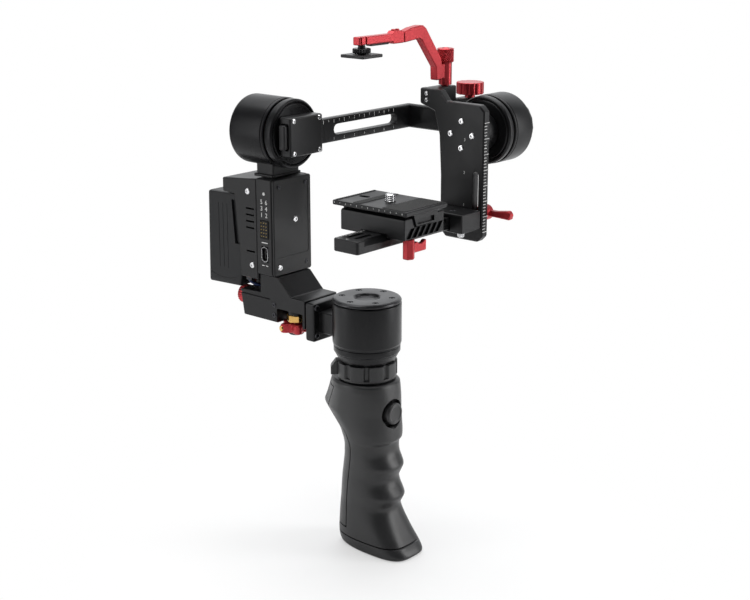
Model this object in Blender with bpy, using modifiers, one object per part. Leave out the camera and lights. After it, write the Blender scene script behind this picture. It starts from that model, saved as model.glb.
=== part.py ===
"""Hand-held three-axis camera gimbal stabiliser, built as separate pieces.

Blender 4.5.  The scene is in metres with +Z up.  Every length below is written in
millimetres and MM turns it into metres.  The origin is on the pan axis, on the plane
of the grip's base.  -Y is the way the camera looks, +X is the camera's left-hand side.
"""

import math

import bmesh
import bpy
from mathutils import Matrix, Vector

MM = 0.001
GAP = 0.3                    # clearance left between two pieces that touch
SLIDE_GAP = 0.4              # clearance on a sliding fit

# --- driving dimensions -----------------------------------------------------------
GRIP_TOP = 114.0             # height of the grip's round top
CAP_SEAM = 8.0               # height of the seam over the bottom cap
CORE_RADIUS = 9.0            # metal tube that carries the head
PAN_BASE_BOTTOM = 127.0
PAN_BASE_TOP = 136.4
PAN_TOP = 167.4              # top of the pan motor
PAN_RADIUS = 22.0
ARM_BOTTOM = 140.8
ARM_TOP = 160.0
ARM_HALF_WIDTH = 15.5
BOX_HALF_WIDTH = 17.4        # controller box
BOX_FRONT = 63.8
BOX_BACK = 79.8
BOX_BOTTOM = 172.0
BOX_TOP = 235.5
ROLL_Z = 264.0               # height of the roll and tilt axes
ROLL_RADIUS = 22.5
TILT_Y = -22.0               # the tilt axis stands in front of the pan axis
PLATE_X = (66.0, 72.0)       # upright height plate
BAR_Y = (-29.0, -9.3)        # lateral bar under the camera base
BAR_Z = (206.6, 214.6)
CAMERA_X = 3.5               # the camera's centre line stands off the pan axis
CLAMP_Y = 7.0                # top clamp's centre line
WING_KNOB_AT = (-9.5, 53.0)
ARM_SCREW_AT = (-6.0, 152.0)  # X and Z of the screw that sets the arm along its rail
RELEASE_LEVER_AT = (-6.5, -39.0)
HEIGHT_LEVER_AT = (-34.0, 213.6)  # Y and Z of the height lever's pivot
HEIGHT_TRAVEL = (-6.0, 24.0)  # how far the camera stage slides down and up
TILT_KNOB_AT = (117.0, 9.9)
CLAMP_SCREW_AT = (86.0, CLAMP_Y)
CAMERA_SCREW_Y = -16.0

ROUND_STEPS = 32             # sides of a large turned piece
SMALL_STEPS = 20             # sides of a small turned piece

for old in list(bpy.data.objects):
    bpy.data.objects.remove(old)

PARTS = bpy.data.collections.new("gimbal_stabilizer")
CUTTERS = bpy.data.collections.new("cutters")
bpy.context.scene.collection.children.link(PARTS)
bpy.context.scene.collection.children.link(CUTTERS)

# name: (colour, roughness, metallic)
FINISHES = {
    "black_plastic": ((0.018, 0.018, 0.019), 0.48, 0.0),
    "controller_plastic": ((0.022, 0.022, 0.024), 0.42, 0.0),
    "battery_plastic": ((0.045, 0.046, 0.050), 0.50, 0.0),
    "black_anodised": ((0.020, 0.020, 0.022), 0.38, 0.75),
    "red_anodised": ((0.520, 0.012, 0.022), 0.28, 0.85),
    "brass": ((0.720, 0.450, 0.140), 0.30, 1.0),
    "steel": ((0.640, 0.640, 0.650), 0.28, 1.0),
    "copper": ((0.600, 0.260, 0.120), 0.40, 1.0),
    "circuit_board": ((0.010, 0.120, 0.050), 0.50, 0.0),
    "cable_jacket": ((0.010, 0.012, 0.040), 0.45, 0.0),
}


# --- building blocks --------------------------------------------------------------
def finish(obj, kind):
    """Give an object its own Principled material."""
    colour, roughness, metallic = FINISHES[kind]
    material = bpy.data.materials.new(obj.name + "_finish")
    material.use_nodes = True
    shader = material.node_tree.nodes["Principled BSDF"]
    shader.inputs["Base Color"].default_value = (*colour, 1.0)
    shader.inputs["Roughness"].default_value = roughness
    shader.inputs["Metallic"].default_value = metallic
    obj.data.materials.clear()
    obj.data.materials.append(material)


def put(name, mesh, kind):
    """Link a mesh as a finished part, or as a cutter when kind is None."""
    obj = bpy.data.objects.new(name, mesh)
    if kind is None:
        CUTTERS.objects.link(obj)
        obj.hide_render = True
        obj.display_type = "WIRE"
    else:
        PARTS.objects.link(obj)
        finish(obj, kind)
    return obj


def mesh_from(bm, name):
    mesh = bpy.data.meshes.new(name)
    bm.to_mesh(mesh)
    bm.free()
    return mesh


def bevel(obj, width, segments=1, angle=40.0):
    mod = obj.modifiers.new("edges", "BEVEL")
    mod.width = width * MM
    mod.segments = segments
    mod.limit_method = "ANGLE"
    mod.angle_limit = math.radians(angle)
    return obj


def box(name, kind, x, y, z, edge=0.0, segments=1):
    """A block between two corners; x, y and z are (low, high) pairs."""
    low = Vector((x[0], y[0], z[0])) * MM
    high = Vector((x[1], y[1], z[1])) * MM
    bm = bmesh.new()
    bmesh.ops.create_cube(bm, size=1.0)
    bmesh.ops.scale(bm, vec=high - low, verts=bm.verts)
    bmesh.ops.translate(bm, vec=(high + low) / 2, verts=bm.verts)
    obj = put(name, mesh_from(bm, name), kind)
    if edge:
        bevel(obj, edge, segments)
    return obj


TURN_TO = {
    "X": Matrix.Rotation(math.radians(90), 4, "Y"),
    "Y": Matrix.Rotation(math.radians(-90), 4, "X"),
    "Z": Matrix.Identity(4),
}


def smooth_round(obj, angle=35.0):
    obj.data.shade_smooth()
    obj.data.set_sharp_from_angle(angle=math.radians(angle))


def rod(name, kind, axis, at, along, radius, sides=SMALL_STEPS, edge=0.0):
    """A cylinder about an axis; at holds the axis' two fixed coordinates in order."""
    length = along[1] - along[0]
    middle = (along[0] + along[1]) / 2
    bm = bmesh.new()
    bmesh.ops.create_cone(bm, cap_ends=True, segments=sides, radius1=radius * MM,
                          radius2=radius * MM, depth=length * MM)
    obj = put(name, mesh_from(bm, name), kind)
    place = {
        "X": (middle, at[0], at[1]),
        "Y": (at[0], middle, at[1]),
        "Z": (at[0], at[1], middle),
    }[axis]
    obj.matrix_world = Matrix.Translation(Vector(place) * MM) @ TURN_TO[axis]
    if edge:
        bevel(obj, edge)
    if sides > 8:
        smooth_round(obj)
    return obj


def turned(name, kind, axis, at, profile, closed=False, steps=ROUND_STEPS):
    """A turned piece. profile lists (radius, position along the axis), far end first.

    An open profile starts and ends on the axis.  A closed one makes a ring: down its
    outer side, then back up its bore.
    """
    mesh = bpy.data.meshes.new(name)
    verts = [(radius * MM, 0.0, height * MM) for radius, height in profile]
    edges = [(i, i + 1) for i in range(len(verts) - 1)]
    if closed:
        edges.append((len(verts) - 1, 0))
    mesh.from_pydata(verts, edges, [])
    obj = put(name, mesh, kind)
    place = {
        "X": (0, at[0], at[1]),
        "Y": (at[0], 0, at[1]),
        "Z": (at[0], at[1], 0),
    }[axis]
    obj.matrix_world = Matrix.Translation(Vector(place) * MM) @ TURN_TO[axis]
    screw = obj.modifiers.new("turn", "SCREW")
    screw.axis = "Z"
    screw.steps = steps
    screw.render_steps = steps
    screw.use_merge_vertices = True
    screw.merge_threshold = 0.00001
    screw.use_smooth_shade = True
    return obj


def slab(name, kind, axis, outline, along, edge=0.0, segments=1):
    """A flat outline with thickness along an axis, from a filled 2D curve.

    outline holds (Y, Z) pairs for axis X, (X, Z) for axis Y and (X, Y) for axis Z.
    """
    curve = bpy.data.curves.new(name + "_outline", "CURVE")
    curve.dimensions = "2D"
    curve.fill_mode = "BOTH"
    curve.extrude = (along[1] - along[0]) / 2 * MM
    curve.render_resolution_u = 0
    spline = curve.splines.new("POLY")
    spline.points.add(len(outline) - 1)
    for point, (u, v) in zip(spline.points, outline):
        point.co = (u * MM, v * MM, 0.0, 1.0)
    spline.use_cyclic_u = True
    guide = bpy.data.objects.new(name + "_guide", curve)
    CUTTERS.objects.link(guide)
    middle = (along[0] + along[1]) / 2 * MM
    frame = {
        "X": Matrix(((0, 0, 1, middle), (1, 0, 0, 0), (0, 1, 0, 0), (0, 0, 0, 1))),
        "Y": Matrix(((1, 0, 0, 0), (0, 0, -1, middle), (0, 1, 0, 0), (0, 0, 0, 1))),
        "Z": Matrix.Translation((0, 0, middle)),
    }[axis]
    guide.matrix_world = frame
    bpy.context.view_layer.update()
    evaluated = guide.evaluated_get(bpy.context.evaluated_depsgraph_get())
    mesh = bpy.data.meshes.new_from_object(evaluated)
    mesh.name = name
    bpy.data.objects.remove(guide)
    bm = bmesh.new()
    bm.from_mesh(mesh)
    bmesh.ops.remove_doubles(bm, verts=bm.verts, dist=0.00001)
    bmesh.ops.dissolve_limit(bm, angle_limit=0.01, verts=bm.verts, edges=bm.edges)
    bmesh.ops.recalc_face_normals(bm, faces=bm.faces)
    bm.to_mesh(mesh)
    bm.free()
    obj = put(name, mesh, kind)
    obj.matrix_world = frame
    if edge:
        bevel(obj, edge, segments)
    return obj


def boolean(obj, other, operation):
    mod = obj.modifiers.new(operation.lower(), "BOOLEAN")
    mod.operation = operation
    mod.solver = "EXACT"
    mod.object = other
    return obj


def cut(obj, *cutters):
    for cutter in cutters:
        boolean(obj, cutter, "DIFFERENCE")
    return obj


def join(obj, *others):
    for other in others:
        boolean(obj, other, "UNION")
    return obj


def arc(centre, radius, start, end, count):
    """Points on an arc, angles in degrees."""
    points = []
    for i in range(count + 1):
        angle = math.radians(start + (end - start) * i / count)
        points.append((centre[0] + radius * math.cos(angle),
                       centre[1] + radius * math.sin(angle)))
    return points


def rounded(low, high, radius, count=3):
    """A rectangle with round corners."""
    corners = [((high[0] - radius, high[1] - radius), 0),
               ((low[0] + radius, high[1] - radius), 90),
               ((low[0] + radius, low[1] + radius), 180),
               ((high[0] - radius, low[1] + radius), 270)]
    points = []
    for centre, start in corners:
        points += arc(centre, radius, start, start + 90, count)
    return points


def lobed(radius, depth, lobes, count):
    """A round outline that swells into lobes."""
    points = []
    for i in range(count):
        angle = 2 * math.pi * i / count
        reach = radius + depth * math.cos(lobes * angle)
        points.append((reach * math.cos(angle), reach * math.sin(angle)))
    return points


def shifted(outline, du, dv):
    return [(u + du, v + dv) for u, v in outline]


def pivot(name, at):
    """An empty on a joint's axis; the moving pieces are its children."""
    empty = bpy.data.objects.new(name, None)
    empty.empty_display_size = 0.01
    PARTS.objects.link(empty)
    empty.location = Vector(at) * MM
    return empty


def carry(empty, *pieces):
    bpy.context.view_layer.update()
    for piece in pieces:
        piece.parent = empty
        piece.matrix_parent_inverse = empty.matrix_world.inverted()


# --- grip -------------------------------------------------------------------------
# height, front Y, back Y, half width, how much the back narrows
GRIP_SECTIONS = [
    (0.0, -38.6, 15.6, 15.8, 0.22),
    (1.2, -39.6, 16.6, 16.8, 0.22),
    (4.0, -38.4, 17.6, 17.2, 0.20),
    (8.0, -35.2, 18.0, 17.2, 0.18),
    (13.0, -31.4, 18.0, 17.0, 0.16),
    (20.0, -26.8, 17.8, 16.7, 0.14),
    (26.5, -23.4, 17.6, 16.5, 0.12),
    (30.5, -22.7, 17.6, 16.4, 0.12),
    (34.0, -24.6, 17.5, 16.5, 0.12),
    (37.7, -26.3, 17.3, 16.6, 0.12),
    (41.4, -24.6, 16.9, 16.5, 0.12),
    (45.0, -22.3, 16.4, 16.4, 0.12),
    (49.0, -21.3, 15.9, 16.3, 0.12),
    (53.5, -23.2, 15.3, 16.4, 0.12),
    (57.8, -25.1, 14.8, 16.5, 0.12),
    (61.5, -23.6, 14.2, 16.4, 0.12),
    (65.5, -21.4, 13.8, 16.4, 0.12),
    (70.0, -20.6, 13.6, 16.6, 0.12),
    (74.0, -21.2, 14.2, 17.2, 0.12),
    (75.6, -22.9, 14.8, 17.6, 0.12),
    (82.0, -23.0, 18.5, 18.6, 0.20),
    (88.0, -22.8, 27.5, 19.3, 0.42),
    (92.5, -22.6, 33.5, 19.7, 0.535),
    (93.5, -22.5, 34.8, 19.8, 0.56),
    (95.0, -22.4, 34.0, 19.9, 0.55),
    (99.0, -22.2, 32.0, 20.0, 0.52),
    (104.0, -21.8, 29.6, 20.0, 0.46),
    (109.5, -21.0, 26.8, 20.0, 0.34),
    (112.8, -20.4, 24.6, 19.6, 0.20),
    (GRIP_TOP, -19.2, 22.0, 18.4, 0.10),
]
GRIP_SQUARENESS = 2.45
STRAP_DEPTH = 6.5            # how far the back strap reaches into the grip
STRAP_BOTTOM = 13.0
STRAP_TOP = 109.0
SHELL_WALL = 2.6
RING_POINTS = 20


def grip_size_at(height):
    """Front, back, half width and narrowing of the grip at a height."""
    for lower, upper in zip(GRIP_SECTIONS, GRIP_SECTIONS[1:]):
        if lower[0] <= height <= upper[0]:
            share = (height - lower[0]) / (upper[0] - lower[0])
            return [a + (b - a) * share for a, b in zip(lower[1:], upper[1:])]
    return list(GRIP_SECTIONS[-1][1:])


def grip_ring(height, inset):
    """One cross-section of the grip, drawn in by inset."""
    front, back, half_width, narrowing = grip_size_at(height)
    front += inset
    back -= inset
    half_width -= inset
    middle = (front + back) / 2
    reach = (back - front) / 2
    ring = []
    for i in range(RING_POINTS):
        angle = 2 * math.pi * i / RING_POINTS
        c, s = math.cos(angle), math.sin(angle)
        along_x = math.copysign(abs(c) ** (2 / GRIP_SQUARENESS), c)
        along_y = math.copysign(abs(s) ** (2 / GRIP_SQUARENESS), s)
        taper = 1 - narrowing * max(0.0, along_y) ** 1.4
        ring.append((half_width * along_x * taper, middle + reach * along_y, height))
    return ring


def grip_loft(name, kind, heights, inset=0.0):
    """A closed body lofted through the grip's cross-sections."""
    bm = bmesh.new()
    rings = []
    for height in heights:
        points = grip_ring(height, inset)
        rings.append([bm.verts.new(Vector(p) * MM) for p in points])
    for lower, upper in zip(rings, rings[1:]):
        for i in range(RING_POINTS):
            j = (i + 1) % RING_POINTS
            bm.faces.new((lower[i], lower[j], upper[j], upper[i]))
    bm.faces.new(list(reversed(rings[0])))
    bm.faces.new(rings[-1])
    bmesh.ops.triangulate(bm, faces=bm.faces)
    obj = put(name, mesh_from(bm, name), kind)
    smooth_round(obj, 50.0)
    return obj


def strap_region(name, extra):
    """The zone behind the strap's seam, seen from the side, with or without its gap."""
    steps = 9
    heights = [STRAP_BOTTOM + (STRAP_TOP - STRAP_BOTTOM) * (i + 0.37) / steps
               for i in range(steps)]
    seam = [(grip_size_at(h)[1] - STRAP_DEPTH - extra, h) for h in heights]
    bottom = STRAP_BOTTOM - extra
    top = STRAP_TOP + extra
    start = (grip_size_at(bottom)[1] - STRAP_DEPTH - extra, bottom)
    finish_at = (grip_size_at(top)[1] - STRAP_DEPTH - extra, top)
    beyond = 45.0
    outline = [(beyond, bottom), (beyond, top), finish_at] + seam[::-1] + [start]
    return slab(name, None, "X", outline, (-30.0, 30.0))


def build_grip():
    heights = [s[0] for s in GRIP_SECTIONS]
    shell_heights = [CAP_SEAM] + [h for h in heights if h > CAP_SEAM]
    cavity_heights = [CAP_SEAM - 4, 14.0, 26.0, 38.0, 50.0, 62.0, 74.0, 88.0, 99.0, 106.0]
    shell = grip_loft("grip_shell", "black_plastic", shell_heights)
    cavity = grip_loft("grip_cavity", None, cavity_heights, SHELL_WALL)
    recess = rod("button_recess", None, "Y", (0.0, 94.4), (-30.0, -20.9), 9.7, 16)
    button_hole = rod("button_hole", None, "Y", (0.0, 94.4), (-23.0, -12.0), 7.6, 16)
    top_hole = rod("core_hole", None, "Z", (0.0, 0.0), (95.0, 120.0),
                   CORE_RADIUS + SLIDE_GAP, ROUND_STEPS // 2)
    cut(shell, cavity, strap_region("strap_room", 0.0), recess, button_hole, top_hole)

    strap_heights = [STRAP_BOTTOM - 2] + [h for h in heights if 13 < h < 112.9]
    strap = grip_loft("grip_backstrap", "black_plastic", strap_heights)
    boolean(strap, strap_region("strap_zone", -GAP), "INTERSECT")

    cap_heights = [h for h in heights if h < CAP_SEAM - GAP] + [CAP_SEAM - GAP]
    grip_loft("grip_bottom_cap", "black_plastic", cap_heights)

    bore = CORE_RADIUS - 2.0
    turned("grip_core_tube", "steel", "Z", (0, 0),
           [(CORE_RADIUS, 126.6), (CORE_RADIUS, 78.0), (bore, 78.0), (bore, 126.6)],
           closed=True, steps=SMALL_STEPS)
    box("button_switch", "circuit_board", (-7.0, 7.0), (-13.8, -11.2), (87.4, 101.4), 0.3)

    travel = pivot("button_travel", (0.0, -22.0, 94.4))
    button = turned("grip_button", "black_plastic", "Y", (0.0, 94.4),
                    [(0, -16.4), (8.6, -16.4), (8.6, -17.6), (7.2, -17.6), (7.2, -23.2),
                     (6.2, -24.0), (4.4, -24.2), (0, -24.2)], steps=16)
    carry(travel, button)


def build_collar():
    """The lock collar between the grip and the head, with a finger lug."""
    lobes = 9
    count = 54
    lug_angle = math.radians(131)
    outline = []
    for i in range(count):
        angle = 2 * math.pi * i / count
        reach = 18.5 + 1.2 * math.tanh(2.5 * math.cos(lobes * angle))
        off_lug = abs((angle - lug_angle + math.pi) % (2 * math.pi) - math.pi)
        if off_lug < math.radians(11):
            reach = 23.0
        outline.append((reach * math.cos(angle), reach * math.sin(angle)))
    collar = slab("lock_collar", "black_plastic", "Z", outline, (115.1, 126.1), 0.7)
    bore = rod("collar_bore", None, "Z", (0, 0), (110.0, 130.0),
               CORE_RADIUS + SLIDE_GAP, SMALL_STEPS)
    cut(collar, bore)
    carry(pivot("collar_axis", (0, 0, 120.0)), collar)


# --- pan motor and the arm's rail -------------------------------------------------
def build_pan_motor():
    turned("pan_motor_base", "black_anodised", "Z", (0, 0),
           [(21.3, PAN_BASE_TOP), (21.3, 132.6), (18.8, 128.6), (18.0, PAN_BASE_BOTTOM),
            (4.3, PAN_BASE_BOTTOM), (4.3, 157.0), (6.0, 157.0), (6.0, PAN_BASE_TOP)],
           closed=True)
    turned("pan_stator", "copper", "Z", (0, 0),
           [(16.6, 155.5), (17.2, 154.5), (17.2, 142.0), (16.6, 141.0), (6.4, 141.0),
            (6.4, 155.5)], closed=True, steps=SMALL_STEPS)
    turned("pan_bearing", "steel", "Z", (0, 0),
           [(4.0, 156.5), (4.0, 151.5), (2.4, 151.5), (2.4, 156.5)], closed=True, steps=16)

    housing = turned("pan_motor_housing", "black_anodised", "Z", (0, 0),
                     [(21.4, 164.7), (PAN_RADIUS, 164.1), (PAN_RADIUS, 138.4),
                      (21.4, 137.7), (21.4, PAN_BASE_TOP + 0.5), (20.2, PAN_BASE_TOP + 0.5),
                      (20.2, 164.7)], closed=True)
    cap = turned("pan_motor_cap", "black_anodised", "Z", (0, 0),
                 [(0, PAN_TOP - 0.7), (8.2, PAN_TOP - 0.7), (8.8, PAN_TOP), (20.4, PAN_TOP),
                  (21.8, PAN_TOP - 1.0), (21.8, 165.1), (19.7, 165.1), (19.7, 163.0),
                  (0, 163.0)])
    shaft = turned("pan_shaft", "steel", "Z", (0, 0),
                   [(0, 162.6), (2.0, 162.6), (2.0, 130.0), (0, 130.0)], steps=16)
    magnets = turned("pan_magnet_ring", "steel", "Z", (0, 0),
                     [(19.8, 157.0), (19.8, 139.5), (17.8, 139.5), (17.8, 157.0)],
                     closed=True, steps=SMALL_STEPS)

    bracket = box("pan_bracket", "black_anodised", (-16.0, 16.0), (31.0, 39.0),
                  (134.0, 159.6), 1.6, 2)
    saddle = box("bracket_saddle", None, (-10.5, 10.5), (15.0, 32.0), (139.5, 153.6), 0.8)
    clear = rod("bracket_clearance", None, "Z", (0, 0), (120.0, 175.0),
                PAN_RADIUS + GAP, ROUND_STEPS)
    cut(saddle, clear)
    join(bracket, saddle)

    rail = box("arm_rail", "black_anodised", (-2.0, 12.0), (39.0 + GAP, 86.0),
               (145.0, 154.5), 0.5)
    carry(pivot("pan_axis", (0, 0, 150.0)), housing, cap, shaft, magnets, bracket, rail)


# --- sliding arm ------------------------------------------------------------------
def build_arm():
    outline = [(39.6, ARM_BOTTOM), (95.4, ARM_BOTTOM), (98.4, 158.4), (BOX_BACK - 0.2, 159.2),
               (BOX_BACK - 0.2, BOX_BOTTOM - GAP), (BOX_FRONT - 0.6, BOX_BOTTOM - GAP),
               (51.5, ARM_TOP), (39.6, ARM_TOP)]
    foot = slab("arm_foot", "black_anodised", "X", outline,
                (-ARM_HALF_WIDTH, ARM_HALF_WIDTH), 0.8, 2)
    channel = box("rail_channel", None, (-2.0 - SLIDE_GAP, 12.0 + SLIDE_GAP), (30.0, 90.5),
                  (145.0 - SLIDE_GAP, 154.5 + SLIDE_GAP))
    screw_hole = rod("arm_screw_hole", None, "Y", ARM_SCREW_AT, (65.2, 105.0), 2.4, 16)
    notch = box("nut_notch", None, (-25.0, -4.4), (41.6, 64.6), (130.0, 150.6), 0.6)
    knob_room = box("knob_room", None, (-25.0, 2.2), (41.6, 64.6), (130.0, 142.8), 0.6)
    seam = box("arm_seam", None, (-25.0, -ARM_HALF_WIDTH + 0.9), (71.0, 99.0),
               (155.4, 156.5))
    stud_hole = rod("stud_hole", None, "Z", WING_KNOB_AT, (149.0, 156.5), 1.8, 12)
    cut(foot, channel, screw_hole, notch, knob_room, seam, stud_hole)

    nut = rod("wing_nut", "brass", "Z", WING_KNOB_AT, (144.8, 150.3), 5.6, 6, 0.4)
    nut_bore = rod("nut_bore", None, "Z", WING_KNOB_AT, (140.0, 153.0), 1.8, 12)
    cut(nut, nut_bore)

    knob = slab("wing_knob", "red_anodised", "Z",
                shifted(lobed(9.2, 1.9, 5, 30), *WING_KNOB_AT), (136.6, 142.4), 0.8)
    knob_foot = rod("wing_knob_foot", None, "Z", WING_KNOB_AT, (134.6, 137.4), 5.2, 20, 0.5)
    knob_neck = rod("wing_knob_neck", None, "Z", WING_KNOB_AT, (141.4, 144.5), 3.6, 20)
    knob_stud = rod("wing_knob_stud", None, "Z", WING_KNOB_AT, (140.0, 155.5), 1.4, 12)
    join(knob, knob_foot, knob_neck, knob_stud)
    carry(pivot("wing_knob_axis", (*WING_KNOB_AT, 139.0)), knob)

    x, z = ARM_SCREW_AT
    wheel = slab("arm_wheel", "red_anodised", "Y",
                 shifted(lobed(6.2, 0.3, 16, 32), x, z), (99.2, 105.2))
    lock_screw = rod("arm_lock_screw", "steel", "Y", ARM_SCREW_AT, (66.0, 98.9), 2.0, 16, 0.3)
    carry(pivot("arm_wheel_axis", (x, 100.0, z)), wheel, lock_screw)

    cable = bpy.data.curves.new("arm_cable", "CURVE")
    cable.dimensions = "3D"
    cable.bevel_depth = 1.5 * MM
    cable.bevel_resolution = 2
    cable.use_fill_caps = True
    cable.resolution_u = 6
    cable.render_resolution_u = 0
    spline = cable.splines.new("BEZIER")
    route = [(-11.0, 93.0, 165.6), (-9.0, 91.0, 162.2), (1.0, 88.5, 161.6),
             (9.0, 92.0, 165.6)]
    spline.bezier_points.add(len(route) - 1)
    for point, place in zip(spline.bezier_points, route):
        point.co = Vector(place) * MM
        point.handle_left_type = "AUTO"
        point.handle_right_type = "AUTO"
    drawn = bpy.data.objects.new("arm_cable_guide", cable)
    CUTTERS.objects.link(drawn)
    bpy.context.view_layer.update()
    evaluated = drawn.evaluated_get(bpy.context.evaluated_depsgraph_get())
    mesh = bpy.data.meshes.new_from_object(evaluated)
    bpy.data.objects.remove(drawn)
    bm = bmesh.new()
    bm.from_mesh(mesh)
    bmesh.ops.remove_doubles(bm, verts=bm.verts, dist=0.00001)
    bmesh.ops.recalc_face_normals(bm, faces=bm.faces)
    bm.to_mesh(mesh)
    bm.free()
    loom = put("arm_cable", mesh, "cable_jacket")
    smooth_round(loom, 50.0)
    carry(pivot("arm_slide_axis", (0, 60.0, 150.0)), foot, nut, loom)


# --- controller box, battery holder and battery -----------------------------------
HEADER = ((69.0, 76.0), (196.8, 208.2))      # Y and Z of the pin header
SOCKET = ((69.8, 75.2), (181.0, 191.0))      # Y and Z of the data socket


def build_controller():
    side = BOX_HALF_WIDTH
    housing = box("controller_housing", "controller_plastic", (-side, side),
                  (BOX_FRONT + 2.3, BOX_BACK), (BOX_BOTTOM, BOX_TOP), 1.0, 2)
    inside = box("controller_inside", None, (-side + 2.4, side - 2.4),
                 (BOX_FRONT, BOX_BACK - 2.2), (BOX_BOTTOM + 2.4, BOX_TOP - 2.4))
    openings = []
    for name, (y, z) in (("header_opening", HEADER), ("socket_opening", SOCKET)):
        openings.append(box(name, None, (-side - 5, -side + 5),
                            (y[0] - GAP, y[1] + GAP), (z[0] - GAP, z[1] + GAP)))
    cut(housing, inside, *openings)

    cover = slab("controller_cover", "controller_plastic", "Y",
                 rounded((-side, BOX_BOTTOM), (side, BOX_TOP), 1.6),
                 (BOX_FRONT, BOX_FRONT + 2.0), 0.5)
    screws = []
    for name, (x, z) in (("cover_screw_lower", (-12.4, 177.4)),
                         ("cover_screw_middle", (2.4, 207.6))):
        cut(cover, rod(name + "_hole", None, "Y", (x, z), (60.0, 75.0), 2.1, 16))
        screws.append(turned(name, "steel", "Y", (x, z),
                             [(0, BOX_FRONT + 1.6), (1.8, BOX_FRONT + 1.6),
                              (1.8, BOX_FRONT + 0.1), (1.2, BOX_FRONT - 0.4),
                              (0, BOX_FRONT - 0.4)], steps=12))

    header = box("pin_header", "black_plastic", (-side - 0.2, -10.0), *HEADER, 0.2)
    socket_body = box("data_socket", "steel", (-side - 0.2, -11.0), *SOCKET, 1.6, 3)
    mouth = box("data_socket_mouth", None, (-side - 3, -12.4),
                (SOCKET[0][0] + 0.9, SOCKET[0][1] - 0.9),
                (SOCKET[1][0] + 0.9, SOCKET[1][1] - 0.9), 0.9, 2)
    cut(socket_body, mouth)
    board = box("controller_board", "circuit_board", (-9.6, 13.0), (69.6, 71.2),
                (176.0, 231.0), 0.2)

    front = BOX_BACK + GAP
    holder_outline = [(front, 167.6), (96.2, 167.6), (97.0, 188.0), (100.6, 222.4),
                      (111.5, 222.8), (111.5, 232.0), (front, 234.8)]
    half = 16.8
    holder = slab("battery_holder", "controller_plastic", "X", holder_outline,
                  (-half, half), 0.7)
    hollow = box("holder_hollow", None, (-half + 2.4, half - 2.4), (82.6, 94.0),
                 (171.0, 231.0))
    cut(holder, hollow)
    for i, z in enumerate((214.4, 210.2, 205.9, 201.6, 185.8)):
        slot = box("vent_%d" % i, None, (-half - 3, -half + 4), (82.4, 90.0),
                   (z - 0.55, z + 0.55))
        cut(holder, slot)
    for name, (y, z) in (("holder_screw_top", (88.1, 225.6)),
                         ("holder_screw_bottom", (85.2, 176.6))):
        cut(holder, rod(name + "_hole", None, "X", (y, z), (-half - 3, -half + 1.6),
                        2.1, 16))
        screws.append(turned(name, "steel", "X", (y, z),
                             [(0, -half + 1.3), (1.8, -half + 1.3), (1.8, -half - 0.1),
                              (1.2, -half - 0.6), (0, -half - 0.6)], steps=12))
    carry(bpy.data.objects["arm_slide_axis"], housing, cover, header, socket_body, board,
          holder, *screws)

    pack_outline = [(99.2, 159.1), (97.2, 168.0), (97.8, 188.0), (101.3, 222.0),
                    (128.0, 221.2), (129.3, 158.0)]
    pack = slab("battery_pack", "battery_plastic", "X", pack_outline, (-14.6, 14.6), 1.6, 2)
    carry(pivot("battery_travel", (0, 110.0, 190.0)), pack)


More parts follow.
